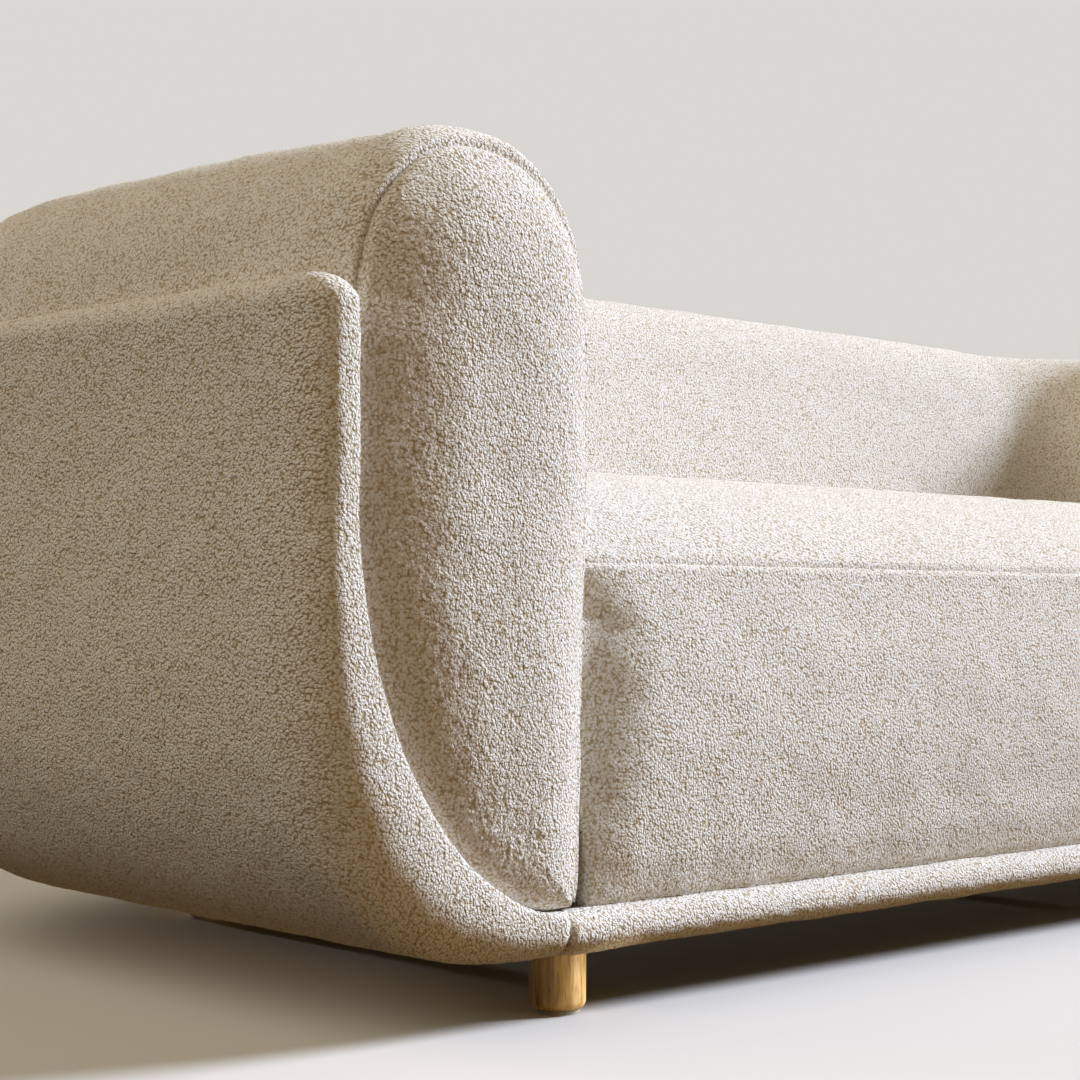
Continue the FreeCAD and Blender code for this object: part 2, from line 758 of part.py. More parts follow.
def seat_plan(front, back, half):
    """The seat seen from above: square at the front, round at the back corners."""
    radius = "dims.seat_corner_radius"
    return [
        (f"-{half}", front, None),
        (half, front, None),
        (half, f"({back} - {radius})", (radius, LEFT)),
        (f"({half} - {radius})", back, None),
        (f"({radius} - {half})", back, (radius, LEFT)),
        (f"-{half}", f"({back} - {radius})", None),
    ]


def make_seat():
    """The front panel, the foam on the springs and the crowned top that rolls over its edge."""
    seam_y = f"({FACE_Y} + dims.seat_seam_inset)"
    front = [
        (FRAME_Y, "dims.band_top", None),
        (FRAME_Y, "dims.seat_seam_height", None),
        (seam_y, "dims.seat_seam_height", ("dims.seat_lean_radius", LEFT)),
        (FACE_Y, "dims.seat_upright_height", None),
        (FACE_Y, "dims.band_top", None),
    ]
    keep(extrusion("seat_front_panel", "YZ_Plane", front, "-dims.seat_front_half_width",
                   "2 * dims.seat_front_half_width"))
    foam = seat_plan("dims.seat_foam_front", "dims.seat_foam_back", "dims.seat_foam_half_width")
    keep(extrusion("seat_foam", "XY_Plane", foam, "dims.seat_foam_bottom",
                   "dims.seat_foam_top - dims.seat_foam_bottom"))
    plan = seat_plan(seam_y, "dims.seat_top_back", "dims.seat_half_width")
    top = extrusion("seat_top_plan", "XY_Plane", plan, "dims.seat_seam_height",
                    "dims.seat_top_height - dims.seat_seam_height")
    crown_start = f"({seam_y} + dims.seat_edge_depth)"
    points = [
        (seam_y, "dims.seat_seam_height", None),
        ("dims.seat_foam_front", "dims.seat_seam_height", None),
        ("dims.seat_foam_front", "dims.seat_foam_top", None),
        ("dims.seat_top_back", "dims.seat_foam_top", None),
        ("dims.seat_top_back", "dims.seat_top_height", None),
        (crown_start, "dims.seat_top_height", ("dims.seat_edge_radius", LEFT)),
        (seam_y, "dims.seat_edge_height", None),
    ]
    profile = extrusion("seat_top_profile", "YZ_Plane", points, "-dims.seat_half_width",
                        "2 * dims.seat_half_width")
    crown = doc.addObject("Part::Common", "seat_top_pad")
    crown.Label = "seat_top_pad"
    crown.Base = top
    crown.Tool = profile
    keep(crown)


def spring_path():
    """A sinuous spring's centre line: straight bars joined by half turns, front to back."""
    half = value("dims.spring_width") / 2
    turn = value("dims.spring_pitch") / 2
    front = value(f"{FRAME_Y} + dims.rail_thickness / 2")
    back = value("dims.back_rail_face - dims.rail_thickness / 2")
    bars = int((back - front) / (2 * turn))
    first = (front + back - 2 * turn * bars) / 2
    straight = half - turn
    edges = []
    for bar in range(bars + 1):
        along = first + 2 * turn * bar
        side = 1 if bar % 2 == 0 else -1
        start = FreeCAD.Vector(-side * straight, along, 0)
        end = FreeCAD.Vector(side * straight, along, 0)
        edges.append(Part.LineSegment(start, end).toShape())
        if bar < bars:
            middle = FreeCAD.Vector(side * half, along + turn, 0)
            far = FreeCAD.Vector(side * straight, along + 2 * turn, 0)
            edges.append(Part.Arc(end, middle, far).toShape())
    return Part.Wire(edges), first, first + 2 * turn * bars, straight


def make_springs():
    """Rows of sinuous springs on the front and back rails, each end held in a sheet clip."""
    path, first, last, straight = spring_path()
    radius = value("dims.spring_wire") / 2
    start = path.Vertexes[0].Point
    circle = Part.Circle(start, FreeCAD.Vector(1, 0, 0), radius)
    spring = path.makePipeShell([Part.Wire([circle.toShape()])], True, False)
    count = int(value("dims.spring_count"))
    middle = (count - 1) / 2
    sheet_z = value("dims.rail_top")
    wire_z = sheet_z + value("dims.clip_height") / 2
    springs = []
    clips = []
    for index in range(count):
        across = (index - middle) * value("dims.spring_spacing")
        copy = spring.copy()
        copy.translate(FreeCAD.Vector(across, 0, wire_z))
        springs.append(copy)
        for along, way in ((first, -1), (last, 1)):
            clips.append(make_clip(across, along, way))
    for name, solids in (("seat_springs", springs), ("spring_clips", clips)):
        feature = doc.addObject("Part::Feature", name)
        feature.Label = name
        feature.Shape = Part.makeCompound(solids)
        keep(feature)


def make_clip(across, along, way):
    """A clip bent from sheet: a channel open towards the spring, on top of the rail."""
    length = value("dims.clip_length")
    depth = value("dims.clip_depth")
    height = value("dims.clip_height")
    sheet_thickness = value("dims.clip_sheet")
    slot = height - 2 * sheet_thickness
    low = along - depth / 2
    base = value("dims.rail_top")
    block = Part.makeBox(length, depth, height, FreeCAD.Vector(across - length / 2, low, base))
    inset = 0 if way > 0 else sheet_thickness
    hollow = Part.makeBox(length, depth - sheet_thickness, slot,
                          FreeCAD.Vector(across - length / 2, low + inset,
                                         base + sheet_thickness))
    return block.cut(hollow)


def make_suspension():
    """The springs and the felt that keeps the foam off them."""
    make_springs()
    low = "dims.seat_foam_bottom - dims.spring_pad_thickness"
    keep(board("spring_pad", ("-dims.spring_pad_half_width", f"{FRAME_Y}", low),
               ("dims.spring_pad_half_width", "dims.back_rail_face", "dims.seat_foam_bottom")))


# ---------------------------------------------------------------- front band and dust cover

def make_band():
    """The padded lip along the front, which carries on the line of the shell's rim."""
    radius = "((dims.band_top - dims.underside_height) / 2)"
    front = f"(-{HALF_DEPTH})"
    points = [
        (f"({front} + dims.band_depth)", "dims.underside_height", None),
        (f"({front} + dims.band_depth)", "dims.band_top", None),
        (f"({front} + {radius})", "dims.band_top", (radius, LEFT)),
        (front, f"(dims.underside_height + {radius})", (radius, LEFT)),
        (f"({front} + {radius})", "dims.underside_height", None),
    ]
    end = f"({HALF_WIDTH} - dims.shell_reach)"
    keep(extrusion("front_band", "YZ_Plane", points, f"-{end}", f"2 * {end}"))


def make_dust_cover():
    """The thin cloth under the seat frame, cut away round each leg."""
    half = "dims.dust_cover_half_width"
    low = "dims.underside_height - dims.dust_cover_thickness"
    cloth = board("dust_cover", (f"-{half}", "dims.dust_cover_front", low),
                  (half, "dims.dust_cover_back", "dims.underside_height"))
    holes = [
        rod(f"leg_hole_{place}", "dims.leg_diameter + 2 * dims.dust_cover_gap", low,
            "dims.underside_height", across, along)
        for place, (across, along) in LEG_PLACES.items()
    ]
    keep(cut("dust_cover", cloth, group("leg_holes", holes)))


# ---------------------------------------------------------------- build, check and write

def check():
    """Stop if any object failed or any sub-part's shape isn't sound."""
    doc.recompute()
    for thing in doc.Objects:
        if "Invalid" in thing.State or "Error" in thing.State:
            raise RuntimeError(f"{thing.Label} failed: {thing.State}")
    for node in nodes:
        shape = node.Shape
        if shape.isNull() or not shape.isValid() or not shape.Solids:
            raise RuntimeError(f"{node.Label} has no sound solid")


def write():
    os.makedirs("parts", exist_ok=True)
    for node in nodes:
        node.Shape.exportStep(f"parts/{node.Label}.step")
        box = node.Shape.BoundBox
        print(f"{node.Label}: {len(node.Shape.Solids)} solid(s), {node.Shape.Volume / 1e6:.3f} l,"
              f" x {box.XMin:.1f}..{box.XMax:.1f} y {box.YMin:.1f}..{box.YMax:.1f}"
              f" z {box.ZMin:.1f}..{box.ZMax:.1f}")


recesses = make_legs()
make_plinth(recesses)
make_base_frame()
make_sills()
make_ribs()
make_top_rails()
make_webbing()
make_shell("shell_ply", shell_ply_outline(), BODY_Y)
make_shell("shell_pad", shell_pad_outline(), f"(dims.shell_front_inset - {HALF_DEPTH})")
make_rolls()
make_suspension()
make_seat()
make_band()
make_dust_cover()
check()
write()
print(len(nodes), "sub-parts")
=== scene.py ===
import math

import bmesh
import bpy
import numpy as np
from mathutils import Matrix, Vector, noise


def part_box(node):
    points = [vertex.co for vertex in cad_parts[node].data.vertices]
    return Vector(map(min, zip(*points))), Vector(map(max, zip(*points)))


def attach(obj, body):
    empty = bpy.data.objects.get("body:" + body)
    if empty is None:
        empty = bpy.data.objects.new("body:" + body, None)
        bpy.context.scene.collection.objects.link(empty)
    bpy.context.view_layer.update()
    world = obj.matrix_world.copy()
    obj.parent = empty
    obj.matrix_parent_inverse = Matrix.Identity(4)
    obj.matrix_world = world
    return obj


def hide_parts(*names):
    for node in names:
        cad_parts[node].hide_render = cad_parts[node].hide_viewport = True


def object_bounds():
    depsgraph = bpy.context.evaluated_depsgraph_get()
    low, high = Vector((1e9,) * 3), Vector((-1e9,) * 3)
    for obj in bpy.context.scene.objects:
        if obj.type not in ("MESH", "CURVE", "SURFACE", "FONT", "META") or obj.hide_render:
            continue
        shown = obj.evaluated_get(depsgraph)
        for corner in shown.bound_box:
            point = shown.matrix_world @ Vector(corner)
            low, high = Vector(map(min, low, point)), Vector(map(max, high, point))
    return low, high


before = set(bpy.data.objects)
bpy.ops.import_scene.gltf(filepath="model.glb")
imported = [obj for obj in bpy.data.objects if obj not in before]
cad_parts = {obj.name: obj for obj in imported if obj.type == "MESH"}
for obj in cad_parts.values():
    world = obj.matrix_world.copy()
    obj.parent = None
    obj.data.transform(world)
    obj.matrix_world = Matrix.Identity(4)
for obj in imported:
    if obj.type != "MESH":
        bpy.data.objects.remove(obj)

# A low three-seat sofa in cream boucle, in metres. A section is a line of (inset, height) points,
# with the inset measured inwards from the outside face of the shell. A path carries a section along
# the left arm, round the left back corner, along the back and down the right arm.

CAD_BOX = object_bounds()
LOW = [float(v) for v in CAD_BOX[0]]
HIGH = [float(v) for v in CAD_BOX[1]]
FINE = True


def low(node):
    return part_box(node)[0]


def high(node):
    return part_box(node)[1]


# ---------------------------------------------------------------- sizes read from the frame

HALF = HIGH[0]                                      # outside face of the shell at each end
BACK = HIGH[1]
TOP = HIGH[2]
CORNER = HALF - high("back_pad")[0]                 # plan radius of the back corners
FACE_Y = low("arm_facing_left")[1]                  # plane of the arm facing and the seat's front
UNDER = low("front_band")[2]
BAND_TOP = high("front_band")[2]
REACH = HALF + low("front_band")[0]                 # inset where the shell hands over to the band
RIM_TOP = high("shell_pad_back")[2]
RIM_FRONT_Y = LOW[1]                                # how far forward the shell's rim reaches
THICK = HALF + low("arm_pad_left")[0]               # shell thickness at the side
ARM_INNER = HALF + high("arm_pad_left")[0]          # inset of the arm's inner face
SEAM_Z = high("seat_front_panel")[2]
CROWN_Z = high("seat_top_pad")[2]
LEAN = BACK - low("back_pad")[1] - ARM_INNER        # how far the back's foot stands forward
FOOT_Z = low("arm_pad_left")[2]
RAIL_Y = low("front_rail")[1]                       # what holds the seat's front out from behind
RAIL_TOP = high("spring_pad")[2]

# ---------------------------------------------------------------- curves and grids


def smooth(t):
    t = np.clip(t, 0, 1)
    return t * t * (3 - 2 * t)


def resample(points, count):
    """Points at even distances along a polyline."""
    points = np.asarray(points, float)
    steps = np.linalg.norm(np.diff(points, axis=0), axis=1)
    along = np.concatenate([[0], np.cumsum(steps)])
    targets = np.linspace(0, 1, count) * along[-1]
    return np.stack([np.interp(targets, along, points[:, k]) for k in range(points.shape[1])], 1)


def superellipse(centre, across, up, power, start, end, count=120):
    """Points of a superellipse from one angle to another, in degrees."""
    angles = np.radians(np.linspace(start, end, count))
    c, s = np.cos(angles), np.sin(angles)
    x = np.sign(c) * np.abs(c) ** (2 / power) * across
    z = np.sign(s) * np.abs(s) ** (2 / power) * up
    return np.stack([centre[0] + x, centre[1] + z], 1)


def graded(stops, sizes):
    """Stations from the first stop to the last, at a spacing that goes from size to size."""
    stations = [stops[0]]
    while stations[-1] < stops[-1]:
        stations.append(stations[-1] + float(np.interp(stations[-1], stops, sizes)))
    stations = np.array(stations)
    return stops[0] + (stations - stops[0]) * (stops[-1] - stops[0]) / (stations[-1] - stops[0])


def normals_of(grid, closed=False):
    """Unit normals of a grid of points; closed says that its columns run round a loop."""
    along = np.gradient(grid, axis=0)
    if closed:
        across = (np.roll(grid, -1, axis=1) - np.roll(grid, 1, axis=1)) / 2
    else:
        across = np.gradient(grid, axis=1)
    n = np.cross(along, across)
    return n / np.maximum(np.linalg.norm(n, axis=2, keepdims=True), 1e-9)


def lengths_along(grid, axis):
    """Mean distance of each row (axis 0) or column (axis 1) from the first."""
    steps = np.linalg.norm(np.diff(grid, axis=axis), axis=2).mean(axis=1 - axis)
    return np.concatenate([[0], np.cumsum(steps)])


def curve_through(values, knots, places):
    """A smooth curve through the values at their knots, read at other places along it."""
    slopes = np.gradient(values, knots, axis=0)
    k = np.clip(np.searchsorted(knots, places, side="right") - 1, 0, len(knots) - 2)
    step = (knots[k + 1] - knots[k])[:, None, None]
    t = ((places - knots[k])[:, None, None]) / step
    near = (2 * t ** 3 - 3 * t ** 2 + 1) * values[k] + (t ** 3 - 2 * t ** 2 + t) * step * slopes[k]
    far = (3 * t ** 2 - 2 * t ** 3) * values[k + 1] + (t ** 3 - t ** 2) * step * slopes[k + 1]
    return near + far


def sparse(places, spacing):
    """Indices of places that are about a spacing apart, both ends among them."""
    gaps = max(int((places[-1] - places[0]) / spacing), 2)
    marks = np.linspace(places[0], places[-1], gaps + 1)
    return np.unique(np.abs(places[None, :] - marks[:, None]).argmin(axis=1))


# ---------------------------------------------------------------- meshes


def grid_faces(rows, columns, closed=False, flip=False):
    """Quads of a grid of rows by columns."""
    faces = []
    for i in range(rows - 1):
        for j in range(columns if closed else columns - 1):
            k = (j + 1) % columns
            quad = (i * columns + j, i * columns + k, (i + 1) * columns + k, (i + 1) * columns + j)
            faces.append(quad[::-1] if flip else quad)
    return faces


def weld(mesh, distance):
    """Join points that lie on each other, and turn all faces outwards."""
    bm = bmesh.new()
    bm.from_mesh(mesh)
    bmesh.ops.remove_doubles(bm, verts=bm.verts, dist=distance)
    bmesh.ops.recalc_face_normals(bm, faces=bm.faces)
    bm.to_mesh(mesh)
    bm.free()


def cover(name, points, faces, replaced, join=0.0002):
    """A padded boucle piece that rides the sofa's one body in place of plain CAD pads."""
    mesh = bpy.data.meshes.new(name)
    mesh.from_pydata([tuple(p) for p in points], [], faces)
    mesh.validate()
    mesh.polygons.foreach_set("use_smooth", [True] * len(mesh.polygons))
    mesh.materials.append(BOUCLE)
    piece = bpy.data.objects.new(name, mesh)
    bpy.context.scene.collection.objects.link(piece)
    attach(piece, "root")
    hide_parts(*replaced)
    weld(mesh, join)


# ---------------------------------------------------------------- boucle relief

NUB_SIZE = 0.0045
NUB_RISE = 0.0006
SWAY_SIZE = 0.06        # slow unevenness of the padding under the cover
SWAY_RISE = 0.0012


def nubs(points, size, rise, seed):
    """Uneven little heights like boucle loops, one for each point."""
    shift = Vector((seed * 3.1, seed * 1.7, seed * 2.3))
    scale = 1 / size
    heights = [noise.noise(Vector(p) * scale + shift) + 0.5 * noise.noise(Vector(p) * scale * 2.1)
               for p in points]
    return np.array(heights) * rise


def relief(grid, seed, size=NUB_SIZE):
    """Nubs and slow unevenness, as a height for each point of a grid."""
    points = grid.reshape(-1, 3)
    heights = nubs(points, size, NUB_RISE, seed) + nubs(points, SWAY_SIZE, SWAY_RISE, seed + 5)
    return heights.reshape(grid.shape[:2])


def pile(grid, seed, mask, closed=False):
    """A grid lifted along its normals by its relief, where the mask allows."""
    return grid + normals_of(grid, closed) * (relief(grid, seed) * mask)[..., None]


# a seam: how wide its groove is, and where the slight ridge beside it stands and how wide that is
GROOVE_WIDTH = 0.0020
RIDGE_PLACE = 0.0058
RIDGE_WIDTH = 0.0030


def seam_groove(distance, dive=0.0054, ridge=0.0007):
    """How deep the cover dives at a distance from a seam; it is less than 0 on the ridge."""
    fall = dive * np.exp(-(distance / GROOVE_WIDTH) ** 1.5)
    return fall - ridge * np.exp(-((distance - RIDGE_PLACE) / RIDGE_WIDTH) ** 2)


# ---------------------------------------------------------------- padded cloth

CLOTH_STEPS = 20


def sewn_cloth(name, coarse, pressure, flip):
    """A sheet of cloth, sewn down round its edge and pressed outwards."""
    shape = coarse.shape[:2]
    mesh = bpy.data.meshes.new(name)
    faces = grid_faces(*shape, flip=flip)
    mesh.from_pydata([tuple(p) for p in coarse.reshape(-1, 3)], [], faces)
    cloth = bpy.data.objects.new(name, mesh)
    bpy.context.scene.collection.objects.link(cloth)
    edge = np.ones(shape, bool)
    edge[1:-1, 1:-1] = False
    sewn = cloth.vertex_groups.new(name="sewn")
    sewn.add([int(i) for i in np.flatnonzero(edge)], 1.0, "REPLACE")
    modifier = cloth.modifiers.new("cloth", "CLOTH")
    settings = modifier.settings
    settings.vertex_group_mass = "sewn"
    settings.quality = 6
    settings.mass = 0.4
    settings.tension_stiffness = 60
    settings.compression_stiffness = 60
    settings.shear_stiffness = 30
    settings.bending_stiffness = 4
    settings.use_pressure = True
    settings.uniform_pressure_force = pressure
    settings.effector_weights.gravity = 0
    modifier.collision_settings.use_collision = False
    modifier.collision_settings.use_self_collision = False
    return cloth


def settle(cloth):
    """Run the simulation, read the settled points and take the cloth away."""
    scene = bpy.context.scene
    for step in range(1, CLOTH_STEPS + 1):
        scene.frame_set(step)
    bpy.context.view_layer.update()
    settled = cloth.evaluated_get(bpy.context.evaluated_depsgraph_get())
    places = np.array([v.co for v in settled.data.vertices], float)
    scene.frame_set(1)
    bpy.data.objects.remove(cloth)
    return places


def swell(name, grid, spacing, pressure, cap, flip=False):
    """How far each point of a cover moves when it is sewn down and filled from behind."""
    down, along = lengths_along(grid, 0), lengths_along(grid, 1)
    rows, columns = sparse(down, spacing), sparse(along, spacing)
    coarse = grid[np.ix_(rows, columns)]
    moves = settle(sewn_cloth(name, coarse, pressure, flip)).reshape(coarse.shape) - coarse
    # the padding behind the cloth keeps it from sinking in
    outwards = normals_of(coarse) * (1 if flip else -1)
    moves -= outwards * np.minimum((moves * outwards).sum(axis=2, keepdims=True), 0)
    far = np.maximum(np.linalg.norm(moves, axis=2, keepdims=True), 1e-9)
    moves = moves * np.tanh(far / cap) * cap / far
    moves = curve_through(moves, down[rows], down)
    moves = curve_through(moves.transpose(1, 0, 2), along[columns], along)
    return moves.transpose(1, 0, 2)


# ---------------------------------------------------------------- the path round the sofa


class Path:
    """The outside line of the shell in plan, from the left arm's front to the right arm's."""

    def __init__(self, start):
        self.start = start
        self.straight = BACK - CORNER - start
        self.turn = CORNER * math.pi / 2
        self.length = 2 * self.straight + 2 * self.turn + 2 * (HALF - CORNER)

    def at(self, s):
        """The point on the line, the way inwards and the way onwards, at distance s."""
        if s > self.length / 2:
            point, inward, onward = self.at(self.length - s)
            flip = np.array([-1, 1])
            return point * flip, inward * flip, -onward * flip
        if s <= self.straight:
            return np.array([-HALF, self.start + s]), np.array([1.0, 0]), np.array([0, 1.0])
        s -= self.straight
        centre = np.array([CORNER - HALF, BACK - CORNER])
        if s <= self.turn:
            angle = math.pi - s / CORNER
            outward = np.array([math.cos(angle), math.sin(angle)])
            return centre + CORNER * outward, -outward, np.array([outward[1], -outward[0]])
        s -= self.turn
        return np.array([CORNER - HALF + s, BACK]), np.array([0, -1.0]), np.array([1.0, 0])

    def carried(self, s, section):
        """A section's points in space at distance s."""
        point, inward, _ = self.at(s)
        plan = point[None, :] + section[:, :1] * inward[None, :]
        return np.concatenate([plan, section[:, 1:2]], axis=1)

    def share_of_back(self, s):
        """0 in the arms, 1 along the back, turning smoothly at the corners."""
        s = min(s, self.length - s)
        return float(smooth((s - self.straight) / self.turn))


# ---------------------------------------------------------------- materials


class Nodes:
    """A short way to write a node tree."""

    def __init__(self, name):
        self.material = bpy.data.materials.new(name)
        self.material.use_nodes = True
        self.tree = self.material.node_tree
        self.shader = self.tree.nodes["Principled BSDF"]

    def add(self, kind, inputs=None, **properties):
        node = self.tree.nodes.new("ShaderNode" + kind)
        for key, setting in properties.items():
            setattr(node, key, setting)
        for key, setting in (inputs or {}).items():
            self.put(node.inputs[key], setting)
        return node

    def put(self, socket, setting):
        if isinstance(setting, bpy.types.NodeSocket):
            self.tree.links.new(setting, socket)
        else:
            socket.default_value = setting

    def set(self, **inputs):
        for key, setting in inputs.items():
            self.put(self.shader.inputs[key.replace("_", " ")], setting)

    def math(self, operation, a, b=0.0, clamp=False):
        node = self.add("Math", operation=operation, use_clamp=clamp)
        self.put(node.inputs[0], a)
        self.put(node.inputs[1], b)
        return node.outputs[0]

    def noise(self, coords, scale, detail, **inputs):
        settings = {"Vector": coords, "Scale": scale, "Detail": detail, **inputs}
        return self.add("TexNoise", settings).outputs["Fac"]

    def ramp(self, factor, stops):
        node = self.add("ValToRGB")
        self.put(node.inputs[0], factor)
        ramp = node.color_ramp
        while len(ramp.elements) < len(stops):
            ramp.elements.new(0.5)
        for element, (place, colour) in zip(ramp.elements, stops):
            element.position = place
            element.color = (*colour, 1)
        return node.outputs[0]

    def bump(self, height, distance):
        return self.add("Bump", {"Height": height, "Strength": 1.0, "Distance": distance}).outputs[0]

    def object_coords(self, scale=(1, 1, 1)):
        coords = self.add("TexCoord").outputs["Object"]
        return self.add("Mapping", {"Vector": coords, "Scale": scale}).outputs[0]


def boucle():
    """Cream boucle: crowded loops 1.5 to 3 mm across; painted shade makes the colour pale on their
    tops and warm and dark between them.
    """
    n = Nodes("boucle")
    coords = n.object_coords()
    warp = n.add("TexNoise", {"Vector": coords, "Scale": 300.0, "Detail": 1.0}).outputs["Color"]
    middle = (0.5, 0.5, 0.5)
    centred = n.add("VectorMath", {0: warp, 1: middle}, operation="SUBTRACT").outputs[0]
    shift = n.add("VectorMath", {0: centred, "Scale": 0.0016}, operation="SCALE").outputs[0]
    moved = n.add("VectorMath", {0: coords, 1: shift}, operation="ADD").outputs[0]
    fibre = n.noise(moved, 950.0, 2.0, Roughness=0.6)
    clump = n.noise(coords, 150.0, 1.0)
    height = n.math("ADD", n.math("MULTIPLY", fibre, 0.7), n.math("MULTIPLY", clump, 0.4))
    shade = n.math("ADD", n.math("MULTIPLY", fibre, 0.5), n.math("MULTIPLY", clump, 0.1))
    # each layer of loops raises the bump, and also paints shade into the colour, darker towards the
    # crevices between loops
    for scale, rise, painted_crevice_shade in ((400.0, 1.0, 0.45), (760.0, 0.4, 0.2)):
        loops = n.add("TexVoronoi", {"Vector": moved, "Scale": scale}).outputs["Distance"]
        dome = n.math("SUBTRACT", 1.0, n.math("MULTIPLY", n.math("POWER", loops, 2.0), 1.5))
        height = n.math("ADD", height, n.math("MULTIPLY", dome, rise))
        shade = n.math("ADD", shade, n.math("MULTIPLY", dome, painted_crevice_shade))
    # the darkest, warm stop is painted shade in the crevices; the upper stops are the yarn's cream
    stops = [(0.46, (0.60, 0.49, 0.33)), (0.66, (0.87, 0.82, 0.725)), (0.84, (0.97, 0.965, 0.955))]
    n.set(Base_Color=n.ramp(shade, stops), Roughness=0.95, Normal=n.bump(height, 0.0012),
          Sheen_Weight=0.25, Sheen_Roughness=0.5, Specular_IOR_Level=0.1)
    return n.material


def wood(name, dark, middle, light, along, pores, roughness):
    """Wood with its grain along one axis: growth bands, fine streaks and open pores."""
    n = Nodes(name)
    coords = n.object_coords(scale=tuple(0.07 if axis == along else 1.0 for axis in "XYZ"))
    drift = n.noise(coords, 45.0, 3.0)
    streak = n.noise(coords, 520.0, 3.0, Roughness=0.65)
    band = n.noise(coords, 160.0, 2.0, Distortion=0.6)
    pore = n.noise(coords, 1700.0, 1.0)
    open_pore = n.math("MULTIPLY", n.math("SUBTRACT", pore, 1 - pores, clamp=True), 4.0, clamp=True)
    shade = n.math("ADD", n.math("MULTIPLY", streak, 0.45), n.math("MULTIPLY", band, 0.40))
    shade = n.math("ADD", shade, n.math("MULTIPLY", drift, 0.15))
    shade = n.math("SUBTRACT", shade, n.math("MULTIPLY", open_pore, 0.16))
    height = n.math("SUBTRACT", n.math("MULTIPLY", streak, 0.4), open_pore)
    rough = n.math("ADD", roughness - 0.08, n.math("MULTIPLY", streak, 0.16))
    n.set(Base_Color=n.ramp(shade, [(0.36, dark), (0.49, middle), (0.62, light)]),
          Roughness=rough, Normal=n.bump(height, 0.0002))
    return n.material


def metal(name, colour, roughness, patch):
    """Plated or blued steel: patches of the plating, and fine drawing marks."""
    n = Nodes(name)
    coords = n.object_coords()
    patches = n.add("TexVoronoi", {"Vector": coords, "Scale": patch}).outputs["Color"]
    tone = n.add("SeparateColor", {0: patches}).outputs[0]
    marks = n.noise(coords, 900.0, 3.0)
    shade = n.math("ADD", n.math("MULTIPLY", tone, 0.5), n.math("MULTIPLY", marks, 0.5))
    darker = tuple(0.72 * c for c in colour)
    brighter = tuple(min(1.12 * c, 0.95) for c in colour)
    rough = n.math("ADD", roughness - 0.1, n.math("MULTIPLY", shade, 0.25))
    n.set(Base_Color=n.ramp(shade, [(0.25, darker), (0.75, brighter)]), Roughness=rough,
          Normal=n.bump(marks, 0.00012), Metallic=1.0)
    return n.material


def woven(name, dark, light, pitch, depth):
    """A plain weave of uneven threads a pitch apart."""
    n = Nodes(name)
    coords = n.object_coords()
    parts = n.add("SeparateXYZ", {0: coords}).outputs
    turn = math.pi / pitch
    over = n.math("SINE", n.math("MULTIPLY", n.math("ADD", parts[0], parts[2]), turn))
    under = n.math("SINE", n.math("MULTIPLY", n.math("SUBTRACT", parts[1], parts[2]), turn))
    weave = n.math("MULTIPLY", over, under)
    shade = n.math("ADD", n.math("MULTIPLY", weave, 0.25), n.noise(coords, 1200.0, 2.0))
    n.set(Base_Color=n.ramp(shade, [(0.3, dark), (0.75, light)]), Roughness=0.85,
          Normal=n.bump(shade, depth), Sheen_Weight=0.2)
    return n.material


def spongy(name, dark, light, pore, depth):
    """Foam or felt: small pits between walls or fibres."""
    n = Nodes(name)
    coords = n.object_coords()
    pits = n.add("TexVoronoi", {"Vector": coords, "Scale": 1 / pore}).outputs["Distance"]
    mottle = n.noise(coords, 60.0, 4.0)
    shade = n.math("ADD", n.math("MULTIPLY", pits, 0.5), n.math("MULTIPLY", mottle, 0.6))
    n.set(Base_Color=n.ramp(shade, [(0.3, dark), (0.8, light)]), Roughness=0.95,
          Normal=n.bump(pits, depth))
    return n.material


def plain(name, colour, roughness):
    """One even colour, for the studio's floor."""
    n = Nodes(name)
    n.set(Base_Color=(*colour, 1), Roughness=roughness)
    return n.material


BOUCLE = boucle()


def finish_cad_nodes():
    """Give each carried-over CAD node the material of its slot."""
    finishes = {
        "oak": wood("oak", (0.26, 0.13, 0.03), (0.66, 0.43, 0.15), (0.90, 0.68, 0.34),
                    "Z", 0.42, 0.38),
        "beech": wood("beech", (0.52, 0.35, 0.21), (0.66, 0.47, 0.30), (0.74, 0.56, 0.38),
                      "X", 0.36, 0.6),
        "plywood": wood("plywood", (0.50, 0.36, 0.20), (0.66, 0.50, 0.31), (0.78, 0.63, 0.43),
                        "Z", 0.38, 0.65),
        "zinc_steel": metal("zinc_steel", (0.70, 0.70, 0.69), 0.38, 260.0),
        "spring_steel": metal("spring_steel", (0.42, 0.42, 0.44), 0.42, 120.0),
        "webbing": woven("webbing", (0.03, 0.03, 0.035), (0.16, 0.155, 0.15), 0.0016, 0.0004),
        "black_cloth": woven("black_cloth", (0.012, 0.012, 0.013), (0.06, 0.058, 0.056),
                             0.0009, 0.0002),
        "foam": spongy("foam", (0.72, 0.65, 0.48), (0.92, 0.88, 0.76), 0.0012, 0.0004),
        "felt": spongy("felt", (0.20, 0.19, 0.17), (0.46, 0.44, 0.40), 0.0005, 0.0003),
        "boucle": BOUCLE,
    }
    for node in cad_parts.values():
        for slot in node.material_slots:
            slot.material = finishes[slot.material.name.split(".")[0]]


# ---------------------------------------------------------------- the shell

